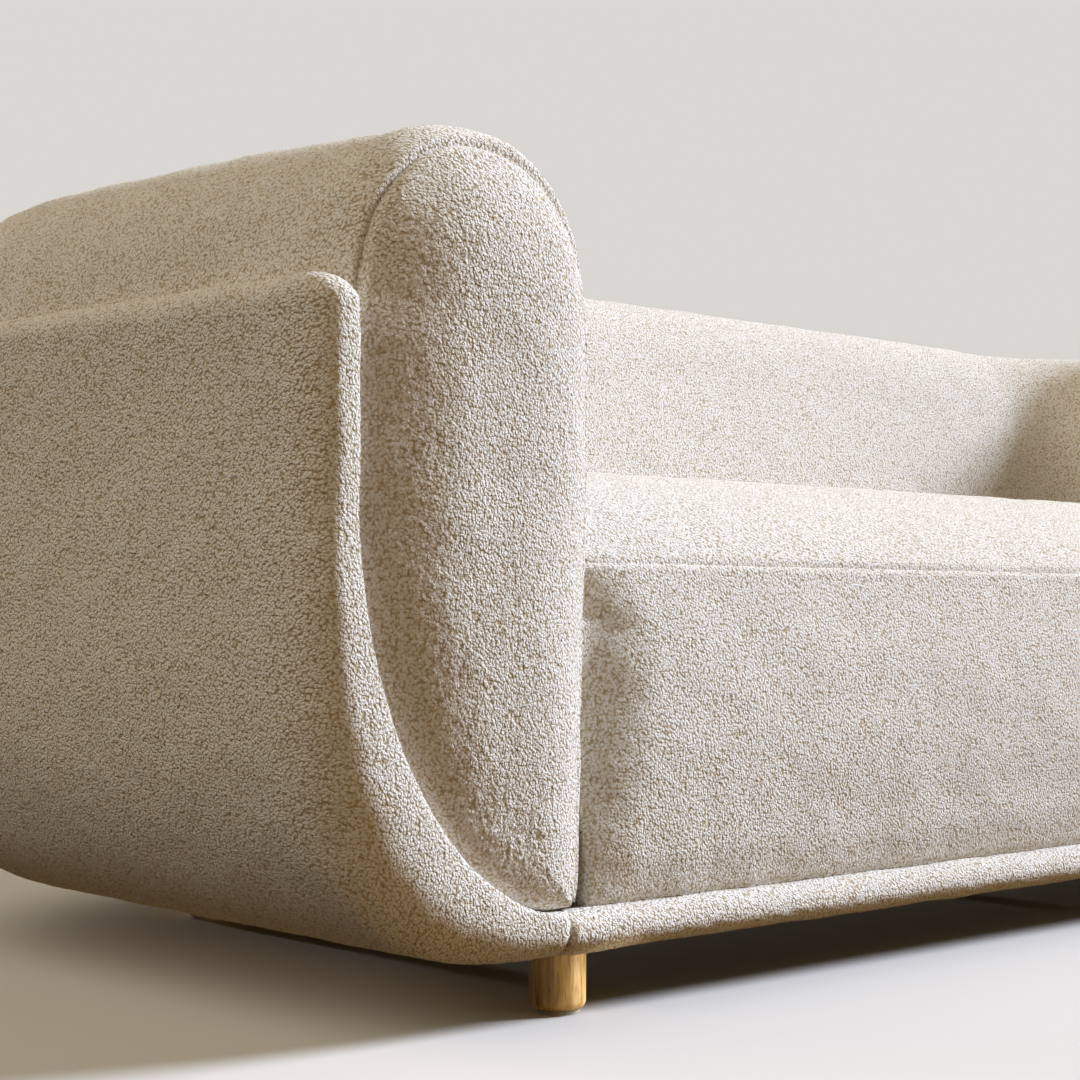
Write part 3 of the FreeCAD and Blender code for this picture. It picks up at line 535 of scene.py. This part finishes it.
RIM_HALF = THICK / 2
RIM_CENTRE_Z = RIM_TOP - RIM_HALF
CREASE_Z = RIM_TOP - 0.162           # where the straight sides start to curve under
NOSE_CREST = 0.62                    # where the nose stands furthest forward, through the thickness
NOSE_SIDE = 0.054                    # length of the nose outside the crest, at the side
NOSE_UNDER = 0.030                   # and where it meets the band
NOSE_INSIDE = 0.004                  # and inside the crest
SIDE_LENGTH = 0.66                   # the outer line's length from rim to band, about
SHELL_NODES = ["shell_pad_side_left", "shell_pad_side_right", "shell_pad_corner_left",
               "shell_pad_corner_right", "shell_pad_back"]


def shell_sides(count):
    """The shell's outer and inner lines from the rim down to its reach, point for point."""
    outer_curve = superellipse((REACH + 0.003, CREASE_Z), REACH + 0.003, CREASE_Z - UNDER, 3.2,
                               180, 270)
    inner_curve = superellipse((REACH, CREASE_Z), REACH - THICK - 0.002, CREASE_Z - BAND_TOP, 1.92,
                               180, 270)
    outer = np.concatenate([[[0, RIM_CENTRE_Z]], outer_curve[outer_curve[:, 0] < REACH],
                            [[REACH, UNDER]]])
    inner = np.concatenate([[[THICK, RIM_CENTRE_Z]], inner_curve])
    return resample(outer, count), resample(inner, count)


def shell_loop(count, rim_count):
    """The closed section, its crest points, its share of the way down and of the way inside."""
    outer, inner = shell_sides(count)
    crest = (1 - NOSE_CREST) * outer + NOSE_CREST * inner
    angles = np.linspace(math.pi, 0, rim_count + 2)[1:-1]
    rim = np.stack([RIM_HALF + RIM_HALF * np.cos(angles),
                    RIM_CENTRE_Z + RIM_HALF * np.sin(angles)], 1)
    rim_crest = np.repeat([[NOSE_CREST * THICK, RIM_CENTRE_Z]], rim_count, axis=0)
    loop = np.concatenate([outer[::-1], rim, inner])
    crests = np.concatenate([crest[::-1], rim_crest, crest])
    down = np.concatenate([np.linspace(1, 0, count), np.zeros(rim_count),
                           np.linspace(0, 1, count)])
    inside = np.concatenate([np.zeros(count), np.linspace(0, 1, rim_count), np.ones(count)])
    return loop, crests, down, inside


def make_shell():
    """The wraparound shell with its round front edges, in one closed mesh."""
    loop, crests, down, inside = shell_loop(130, 14) if FINE else shell_loop(60, 10)
    outside_length = NOSE_SIDE + (NOSE_UNDER - NOSE_SIDE) * smooth((down - 0.55) / 0.45)
    length = outside_length + (NOSE_INSIDE - outside_length) * inside
    rows = []
    for angle in np.radians(np.linspace(90, 0, 15 if FINE else 8))[:-1]:
        section = crests + (loop - crests) * math.cos(angle)
        y = RIM_FRONT_Y + length * (1 - math.sin(angle))
        rows.append(np.stack([section[:, 0] - HALF, y, section[:, 1]], 1))
    nose = np.array(rows)
    path = Path(RIM_FRONT_Y + NOSE_SIDE)
    stations = graded([0, 0.5, 1.0, path.length - 1.0, path.length - 0.5, path.length],
                      [0.0042, 0.006, 0.011, 0.011, 0.009, 0.009])
    body = np.array([path.carried(s, loop) for s in stations])
    grid = np.concatenate([nose, body, nose[::-1] * np.array([-1, 1, 1])])
    # the corner seam beside the band draws the nose in a little
    dip = 0.004 * np.clip(1 - (1 - down) * SIDE_LENGTH / 0.010, 0, 1) ** 2
    grid[:, :, 1] += dip[None, :] * np.exp(-((grid[:, :, 1] - RIM_FRONT_Y) / 0.03) ** 2)
    grid = pile(grid, 2, 1.0, closed=True)
    faces = grid_faces(*grid.shape[:2], closed=True)
    cover("shell_cover", grid.reshape(-1, 3), faces, SHELL_NODES)


# ---------------------------------------------------------------- arms, corners and back

ROLL_MIDDLE = 0.170                  # inset of the roll's ridge
ROLL_BASE_Z = 0.50                   # where the roll's round top starts
ROLL_OUT = 0.1315                    # half width outside the ridge
ARM_EDGE = ARM_INNER + 0.008         # inset of the roll's widest line, facing the seat
ROLL_IN = ARM_EDGE - ROLL_MIDDLE
LEAN_TOP = 0.60                      # the back leans below this height
SEAM_Y = FACE_Y + 0.008              # plane of the seam round each facing
SEAM_OUTSIDE = 0.013                 # how far that seam lies within the roll's full section
SEAM_INSIDE = 0.014
SEAM_OVER_TOP = 0.020
RIDGE_Z = TOP - 0.0025               # the ridge's height along the back
ARM_SINKS = 0.0045                   # how much lower it is along the arm
FRONT_SINKS = 0.0105                 # and how much lower again at the arm's round front
EDGE_TURN = math.radians(62)         # how far the roll's front edge turns before its seam
LINING = 0.032                       # the cover's lining lies this deep behind it
END_SET_BACK = 0.006                 # the roll closes this far behind its seam
ROLL_NODES = ["arm_pad_left", "arm_pad_right", "corner_pad_left", "corner_pad_right", "back_pad"]


def roll_section(count, ridge, lean):
    """The padded roll's visible line: inside the shell, over the ridge, down to the foot."""
    up = ridge - ROLL_BASE_Z
    outside = superellipse((ROLL_MIDDLE, ROLL_BASE_Z), ROLL_OUT, up, 2.3, 180, 90)
    inside = superellipse((ROLL_MIDDLE, ROLL_BASE_Z), ROLL_IN, up, 2.35, 90, 0)
    foot = [[ARM_EDGE + 0.0005, 0.44], [ARM_EDGE, 0.40], [ARM_EDGE - 0.002, 0.33],
            [ARM_EDGE - 0.004, 0.25], [ARM_EDGE - 0.005, 0.16], [ARM_EDGE - 0.007, 0.10],
            [ARM_EDGE - 0.010, BAND_TOP + 0.003]]
    start = [[ROLL_MIDDLE - ROLL_OUT + 0.010, 0.40], [ROLL_MIDDLE - ROLL_OUT + 0.003, 0.45]]
    line = np.concatenate([start, outside, inside[1:], foot])
    slope = lean * np.clip((LEAN_TOP - line[:, 1]) / (LEAN_TOP - FOOT_Z), 0, 1)
    line[:, 0] += slope * (line[:, 0] > ROLL_MIDDLE)
    return resample(line, count)


def offset_line(line, depth):
    """The line moved towards the roll's inside, point for point."""
    tangent = np.gradient(line, axis=0)
    tangent /= np.linalg.norm(tangent, axis=1, keepdims=True)
    inward = np.stack([tangent[:, 1], -tangent[:, 0]], 1)
    return line + inward * depth


def seam_inset(line):
    """How far the facing seam lies inside the roll's full section: most over the top."""
    over_top = smooth((line[:, 1] - 0.60) / 0.09)
    side = np.where(line[:, 0] < ROLL_MIDDLE, SEAM_OUTSIDE, SEAM_INSIDE)
    return side + (SEAM_OVER_TOP - side) * over_top


def ridge_height(from_front):
    """The roll's ridge: it sinks a little along the arm and more at its round front."""
    along = ARM_SINKS * (1 - smooth((from_front - 0.6) / 0.8))
    front = FRONT_SINKS * (1 - smooth(from_front / 0.40)) ** 2
    return RIDGE_Z - along - front


def edged(line, from_front):
    """The roll's line where its front edge turns in towards the facing's seam."""
    edge_length = np.interp(line[:, 0], [0.05, ROLL_MIDDLE, 0.26], [0.040, 0.032, 0.020])
    t = np.clip(1 - from_front / edge_length, 0, 1)
    turn = (1 - np.sqrt(1 - (t * math.sin(EDGE_TURN)) ** 2)) / (1 - math.cos(EDGE_TURN))
    line = offset_line(line, (seam_inset(line) * turn)[:, None])
    return offset_line(line, seam_groove(from_front) * 0.6)


def closed_end(row, count):
    """A roll's end row drawn together to a line behind the facing's seam."""
    half = (row[:count] + row[count:][::-1]) / 2
    end = np.concatenate([half, half[::-1]])
    end[:, 1] += END_SET_BACK
    return end


def make_rolls():
    """Arms, corners and back as one padded roll, closed round its lining."""
    count = 190 if FINE else 80
    path = Path(SEAM_Y)
    stations = graded([0, 0.010, 0.05, 0.5, 1.0, path.length - 0.5, path.length - 0.05,
                       path.length], [0.0012, 0.0022, 0.0045, 0.007, 0.011, 0.011, 0.008, 0.004])
    rows = []
    for s in stations:
        from_front = min(s, path.length - s)
        lean = LEAN * path.share_of_back(s)
        line = edged(roll_section(count, ridge_height(from_front), lean), from_front)
        loop = np.concatenate([line, offset_line(line, LINING)[::-1]])
        points = path.carried(s, loop)
        # at both ends the cover dives away from the seam, back into the arm
        backwards = path.at(s)[2] * (1 if s < path.length / 2 else -1)
        points[:, :2] += backwards * (seam_groove(from_front) * 0.8)
        rows.append(points)
    grid = np.array(rows)
    shown = grid[:, :count]
    shown += swell("roll_cloth", shown, spacing=0.035, pressure=0.6, cap=0.003, flip=True)
    visible = np.concatenate([np.ones(count), np.zeros(count)])
    from_ends = np.minimum(stations, path.length - stations)
    grid = pile(grid, 3, visible[None, :] * smooth(from_ends / 0.004)[:, None], closed=True)
    ends = [closed_end(row, count)[None] for row in (grid[0], grid[-1])]
    grid = np.concatenate([ends[0], grid, ends[1]])
    faces = grid_faces(*grid.shape[:2], closed=True)
    cover("arms_and_back_cover", grid.reshape(-1, 3), faces, ROLL_NODES)


# ---------------------------------------------------------------- arm facings

SPINE_Z = [0.15, 0.20, 0.25, 0.32, 0.56]            # heights along the facing's fullest line
SPINE_INSET = [0.206, 0.186, 0.165, 0.150, 0.150]   # and where it runs
SEAM_ZONE = 0.012                                   # rings lie closer within this of the seam
CREASE_END_Z = 0.52                                 # the outline follows the crease up to here
ROLL_START_Z = 0.545                                # and the roll's edge from here
FACING_BACK_Y = SEAM_Y + 0.014


def facing_outline(count):
    """The seam round the facing: the roll's front edge above, the shell's crease below."""
    line = roll_section(500, ridge_height(0.0), 0.0)
    line = offset_line(line, seam_inset(line)[:, None])
    roll = line[(line[:, 1] > ROLL_START_Z) | (line[:, 0] > ROLL_MIDDLE)]
    inner = shell_sides(300)[1]
    crease = inner[inner[:, 1] < CREASE_END_Z][::-1] + np.array([-0.003, 0.0])
    bottom = [[roll[-1, 0], crease[0, 1] + 0.001]]
    outline = np.concatenate([crease, roll, bottom, crease[:1]])
    return resample(outline, count + 1)[:-1]


def even_out(depths, passes):
    """Depths averaged with their neighbours round each ring, more so away from the seam."""
    rings = depths.shape[0]
    weight = (0.5 * smooth(np.arange(rings) / rings * 2.5))[:, None]
    for _ in range(passes):
        beside = (np.roll(depths, 1, axis=1) + np.roll(depths, -1, axis=1)) / 2
        depths = depths + weight * (beside - depths)
    return depths


def facing_rings(outline, spine, rings, near_seam):
    """Rings of points from the seam in to the spine, crowned towards the front."""
    spread = outline - spine
    reach = np.linalg.norm(spread, axis=1)
    right = np.clip(spread[:, 0] / reach, 0, 1) ** 2
    left = np.clip(-spread[:, 0] / reach, 0, 1) ** 2
    power = 3.6 * right + 2.2 * left + 2.6 * (1 - right - left)
    crown = np.interp(spine[:, 1], [0.15, 0.22, 0.32], [0.015, 0.025, 0.032])
    beyond = 1 - np.linspace(0, 1, rings - len(near_seam) + 1)[1:]
    shares = [1 - near / reach for near in near_seam]
    shares += [(1 - SEAM_ZONE / reach) * share for share in beyond]
    rows = []
    for share in shares:
        place = spine + spread * share[:, None]
        y = SEAM_Y + seam_groove(reach * (1 - share)) - crown * (1 - share ** power)
        rows.append(np.stack([place[:, 0] - HALF, y, place[:, 1]], 1))
    return np.array(rows)


def make_facing(name, side, fine, replaced):
    """One arm's front: a full pad, rounder to the inside of the sofa, closed behind."""
    count, rings = (640, 64) if fine else (260, 30)
    outline = facing_outline(count)
    height = np.clip(outline[:, 1], SPINE_Z[0], SPINE_Z[-1])
    spine = np.stack([np.interp(height, SPINE_Z, SPINE_INSET), height], 1)
    grid = facing_rings(outline, spine, rings, np.linspace(0, SEAM_ZONE, 9 if fine else 5))
    grid[:, :, 1] = even_out(grid[:, :, 1], 420 if fine else 60)
    # both sides meet the spine at one level
    level = np.polyval(np.polyfit(height, grid[-1, :, 1], 4), height)
    from_spine = rings - 1 - np.arange(rings)
    joined = smooth(1 - from_spine / (0.4 * rings))[:, None]
    grid[:, :, 1] += joined * (level - grid[-1, :, 1])[None, :]
    grid[:, :, 1] += relief(grid, 4, size=0.0042) * smooth(np.arange(rings) / 4)[:, None]
    behind = np.array([grid[0], grid[-1]])
    behind[:, :, 1] = FACING_BACK_Y
    points = np.concatenate([grid, behind]).reshape(-1, 3) * np.array([-side, 1, 1])
    faces = grid_faces(rings, count, closed=True)
    rim = rings * count
    for j in range(count):
        k = (j + 1) % count
        faces.append((j, k, rim + k, rim + j))
    faces += [tuple(rim + i for i in quad) for quad in grid_faces(2, count, closed=True)]
    cover(name, points, faces, replaced)


# ---------------------------------------------------------------- the seat

SEAT_HALF = HALF - ARM_EDGE + 0.004  # the seat presses softly into the arms
CROWN_DEPTH = 0.075                  # how soon the top rises to its crown behind the seam
SEAM_RECESS = 0.040                  # how far the seat's seam stands behind its front's foot
TOP_LENGTH = 0.58                    # from the seam to the back, about
EDGE_DROP = 0.034                    # the top rolls down this much beside the arms and back
EDGE_WIDTH = 0.05                    # over this width
SEAT_SEAM = (0.0048, 0.0003)         # the seat seam's dive and ridge
# the front is drawn in beside the arms: how wide and how deep, at shares of its height
DRAWN_UP = [0, 0.2, 0.4, 0.6, 0.8, 0.92, 1]
DRAWN_WIDE = [0.05, 0.05, 0.065, 0.085, 0.095, 0.08, 0.06]
DRAWN_DEEP = [0.005, 0.015, 0.030, 0.045, 0.049, 0.024, 0.008]


def nearer(a, b, softness):
    """The lesser of two values, with a soft change from one to the other."""
    return -softness * np.logaddexp(-a / softness, -b / softness)


def seat_front_y(x, z):
    """The front panel's face: upright at the foot, leaning back, drawn in beside the arms."""
    up = (z - BAND_TOP) / (SEAM_Z - BAND_TOP)
    belly = 0.005 * smooth(up / 0.15)
    lean = SEAM_RECESS * np.clip((up - 0.08) / 0.92, 0, 1) ** 2
    beside = (SEAT_HALF - np.abs(x)) / np.interp(up, DRAWN_UP, DRAWN_WIDE)
    drawn = np.interp(up, DRAWN_UP, DRAWN_DEEP) * (1 - np.clip(beside, 0, 1)) ** 2
    face = FACE_Y + 0.003 - belly + lean + drawn
    # the front rail and the spring pad on it hold the cover out
    rail = RAIL_Y - 0.005 + 0.05 * smooth((z - RAIL_TOP - 0.002) / 0.025)
    return nearer(face, rail, 0.003)


def closed_panel(name, grid, thickness, replaced):
    """A grid and a plain back a thickness behind it, joined round the edge."""
    rows, columns = grid.shape[:2]
    front = grid.reshape(-1, 3)
    edge = ([(0, j) for j in range(columns)] + [(i, columns - 1) for i in range(1, rows)]
            + [(rows - 1, j) for j in range(columns - 2, -1, -1)]
            + [(i, 0) for i in range(rows - 2, 0, -1)])
    ring = [i * columns + j for i, j in edge]
    back = front[ring] + np.asarray(thickness, float)
    faces = grid_faces(rows, columns)
    offset, count = len(front), len(ring)
    for a in range(count):
        b = (a + 1) % count
        faces.append((ring[b], ring[a], offset + a, offset + b))
    # strips from one long edge to the other close the back
    far = offset + columns + rows - 2
    for j in range(columns - 1):
        faces.append((offset + j, offset + j + 1, far + columns - 2 - j, far + columns - 1 - j))
    cover(name, np.concatenate([front, back]), faces, replaced, join=0.0001)


def make_seat_front():
    """The seat's front panel, from the band up to the straight seam."""
    xs = graded([-SEAT_HALF, -SEAT_HALF + 0.9, SEAT_HALF], [0.0026, 0.008, 0.010])
    near_seam = SEAM_Z - np.array([0.012, 0.0095, 0.0075, 0.006, 0.0045, 0.003, 0.0015, 0.0])
    tucked = BAND_TOP + np.array([-0.012, -0.006])
    face = np.linspace(BAND_TOP, near_seam[0], 100 if FINE else 45)[:-1]
    x, z = np.meshgrid(xs, np.concatenate([tucked, face, near_seam]))
    y = seat_front_y(x, z) + seam_groove(SEAM_Z - z, *SEAT_SEAM)
    y = y + 0.005 * np.exp(-np.clip((z - BAND_TOP) / 0.004, 0, 50))
    grid = np.stack([x, y, z], 2)
    grid = grid + swell("front_cloth", grid, spacing=0.025, pressure=6.0, cap=0.005)
    grid = pile(grid, 6, smooth((SEAM_Z - z) / 0.004))
    closed_panel("seat_front_cover", grid, (0, 0.020, 0), ["seat_front_panel"])


def seat_plan_back(x):
    """Where the seat's top ends at the back, rounded beside the corners."""
    inner = CORNER - ARM_INNER - 0.006
    middle = HALF - CORNER
    out = np.clip(np.abs(x) - middle, 0, inner * 0.999)
    straight = BACK - ARM_INNER - 0.032
    rounded = BACK - CORNER + np.sqrt(np.maximum(inner ** 2 - out ** 2, 0))
    return np.minimum(np.where(np.abs(x) > middle, rounded, straight), straight)


def make_seat_top():
    """The crowned top: it rises from the front seam and rolls down beside the arms and back."""
    xs = graded([-SEAT_HALF, -SEAT_HALF + 0.05, -SEAT_HALF + 0.9, SEAT_HALF - 0.05, SEAT_HALF],
                [0.0028, 0.0042, 0.008, 0.010, 0.004])
    near_seam = np.array([0.0, 0.0012, 0.0026, 0.004, 0.0055, 0.007, 0.009, 0.0115]) / TOP_LENGTH
    beyond = np.linspace(0, 1, 140 if FINE else 65) ** 1.3
    shares = np.concatenate([near_seam[:-1], near_seam[-1] + (1 - near_seam[-1]) * beyond])
    front = seat_front_y(xs, np.full_like(xs, SEAM_Z))
    back = seat_plan_back(xs)
    x = np.repeat(xs[None, :], len(shares), axis=0)
    inwards = shares[:, None] * (back - front)[None, :]
    y = front[None, :] + inwards
    rise = (CROWN_Z + 0.003 - SEAM_Z) * (1 - np.exp(-inwards / CROWN_DEPTH))
    edge = np.minimum(SEAT_HALF - np.abs(x), np.maximum(back[None, :] - y, 0))
    roll = EDGE_DROP * np.clip(1 - edge / EDGE_WIDTH, 0, 1) ** 2.4
    z = SEAM_Z + rise - roll * smooth(inwards / 0.08)
    groove = seam_groove(inwards, *SEAT_SEAM) * 0.6
    grid = np.stack([x, y + groove, z - groove], 2)
    grid = grid + swell("top_cloth", grid, spacing=0.035, pressure=2.0, cap=0.006)
    grid = pile(grid, 7, smooth(inwards / 0.004))
    closed_panel("seat_top_cover", grid, (0, 0, -0.015), ["seat_top_pad"])


# ---------------------------------------------------------------- the front band

BAND_ABOVE = 0.020                   # the band's round front: its depth above its middle
BAND_BELOW = 0.030                   # and below it
BAND_BACK_Y = RIM_FRONT_Y + 0.035


def band_section():
    """The band's closed section as (y, z) points, round in front, and its centre."""
    middle = (UNDER + BAND_TOP) / 2
    angles = np.radians(np.linspace(90, 270, 44 if FINE else 24))
    depth = np.where(np.sin(angles) > 0, BAND_ABOVE, BAND_BELOW)
    ys = RIM_FRONT_Y + depth * (1 + np.cos(angles))
    zs = middle + (BAND_TOP - UNDER) / 2 * np.sin(angles)
    behind = [(BAND_BACK_Y, zs[-1] + 0.0005), (BAND_BACK_Y, zs[0] - 0.0005)]
    centre = np.array([RIM_FRONT_Y + BAND_ABOVE, middle])
    return np.concatenate([np.stack([ys, zs], 1), behind]), centre


def make_band():
    """The lip along the front: it carries on the shell rim's round section."""
    loop, centre = band_section()
    end = HALF - REACH
    xs = graded([-end, -end + 0.02, -end + 0.8, end - 0.02, end],
                [0.0016, 0.003, 0.008, 0.008, 0.002])
    rows = []
    for x in xs:
        from_seam = end - abs(x)
        seam = 0.20 * math.exp(-(from_seam / 0.0025) ** 1.3)
        squeeze = 1 - seam - 0.03 * math.exp(-(from_seam / 0.02) ** 2)
        section = centre + (loop - centre) * squeeze
        rows.append(np.stack([np.full(len(loop), x), section[:, 0], section[:, 1]], 1))
    mask = np.ones(len(loop))
    mask[[0, -3, -2, -1]] = 0
    grid = pile(np.array(rows), 8, -mask[None, :], closed=True)
    count, columns = grid.shape[:2]
    faces = grid_faces(count, columns, closed=True)
    faces.append(tuple(range(columns)))
    faces.append(tuple(range((count - 1) * columns, count * columns))[::-1])
    cover("front_band_cover", grid.reshape(-1, 3), faces, ["front_band"], join=0.0001)


# ---------------------------------------------------------------- floor, light and camera


def make_floor():
    """A wide pale floor that neither lights the sofa nor keeps light from it."""
    bpy.ops.mesh.primitive_plane_add(size=60)
    floor = bpy.context.object
    floor.name = "floor"
    floor.data.materials.append(plain("floor", (0.60, 0.585, 0.56), 0.9))
    floor.visible_diffuse = False
    floor.visible_shadow = False


def add_lamp(data, strength, colour, place, axis, towards):
    """Put a lamp in the scene with one of its own axes turned towards a direction."""
    data.energy = strength
    data.color = colour
    lamp = bpy.data.objects.new(data.name, data)
    lamp.location = place
    lamp.rotation_euler = Vector(towards).to_track_quat(axis, "Y").to_euler()
    bpy.context.scene.collection.objects.link(lamp)


def spot_light(name, place, target, cone, power, colour):
    """A small low lamp with a narrow cone."""
    data = bpy.data.lights.new(name, "SPOT")
    data.spot_size = math.radians(cone)
    data.spot_blend = 0.4
    data.shadow_soft_size = 0.02
    add_lamp(data, power, colour, place, "-Z", target - place)


def sun_light(name, source, strength, angle, colour):
    """A light as even as daylight, from the direction of its source."""
    data = bpy.data.lights.new(name, "SUN")
    data.angle = math.radians(angle)
    add_lamp(data, strength, colour, Vector(source) * 5, "Z", source)


def make_world():
    """A pale studio to look at; its light is dim and warm, and comes from above the floor."""
    world = bpy.data.worlds.new("studio")
    world.use_nodes = True
    tree = world.node_tree
    ambient = tree.nodes["Background"]
    ambient.inputs[0].default_value = (1.0, 0.74, 0.42, 1)
    direction = tree.nodes.new("ShaderNodeTexCoord")
    height = tree.nodes.new("ShaderNodeSeparateXYZ")
    strength = tree.nodes.new("ShaderNodeMapRange")
    for socket, setting in (("From Min", -0.05), ("From Max", 0.6), ("To Min", 0.012),
                            ("To Max", 0.13)):
        strength.inputs[socket].default_value = setting
    backdrop = tree.nodes.new("ShaderNodeBackground")
    backdrop.inputs[0].default_value = (0.70, 0.68, 0.65, 1)
    mix = tree.nodes.new("ShaderNodeMixShader")
    path = tree.nodes.new("ShaderNodeLightPath")
    tree.links.new(direction.outputs["Generated"], height.inputs[0])
    tree.links.new(height.outputs["Z"], strength.inputs[0])
    tree.links.new(strength.outputs[0], ambient.inputs[1])
    tree.links.new(path.outputs["Is Camera Ray"], mix.inputs[0])
    tree.links.new(ambient.outputs[0], mix.inputs[1])
    tree.links.new(backdrop.outputs[0], mix.inputs[2])
    tree.links.new(mix.outputs[0], tree.nodes["World Output"].inputs[0])
    bpy.context.scene.world = world


def make_light():
    """A key from the right, warm fill from the other sides, and a low lamp on the front leg."""
    bpy.context.scene.view_settings.view_transform = "Standard"
    make_world()
    sun_light("key", (0.825, -0.28, 0.495), 5.7, 18, (0.90, 0.975, 1.14))
    sun_light("fill", (-0.64, 0.16, 0.75), 1.6, 60, (1.0, 0.88, 0.70))
    sun_light("bounce", (0.35, -0.85, -0.40), 0.66, 90, (1.0, 0.64, 0.28))
    sun_light("floor_glow", (-0.60, -0.20, -0.77), 0.07, 90, (1.0, 0.62, 0.28))
    sun_light("back", (0.0, 0.996, 0.087), 1.1, 3, (1.0, 0.94, 0.86))
    leg = (low("leg_front_left") + high("leg_front_left")) / 2
    spot_light("low", leg + Vector((0.43, -0.55, 0.0)), leg, 5.5, 16, (1.0, 0.88, 0.66))


def make_camera():
    """The camera stands low, in front of and beyond the left arm, and looks across to the seat."""
    data = bpy.data.cameras.new("camera")
    data.lens = 73.22
    data.sensor_width = 36
    data.clip_start = 0.01
    camera = bpy.data.objects.new("camera", data)
    place = Vector((-HALF - 0.9395, LOW[1] - 1.2205, 0.335))
    forward = Vector((0.68893, 0.72445, 0.02338))
    right = forward.cross(Vector((-0.02352, -0.00989, 0.99967))).normalized()
    up = right.cross(forward)
    rotation = Matrix((right, up, -forward)).transposed()
    camera.matrix_world = Matrix.Translation(place) @ rotation.to_4x4()
    bpy.context.scene.collection.objects.link(camera)
    bpy.context.scene.camera = camera


make_camera()
make_light()
make_floor()
finish_cad_nodes()
make_shell()
make_rolls()
make_facing("arm_facing_cover_left", -1, FINE, ["arm_facing_left"])
make_facing("arm_facing_cover_right", 1, False, ["arm_facing_right"])
make_seat_front()
make_seat_top()
make_band()
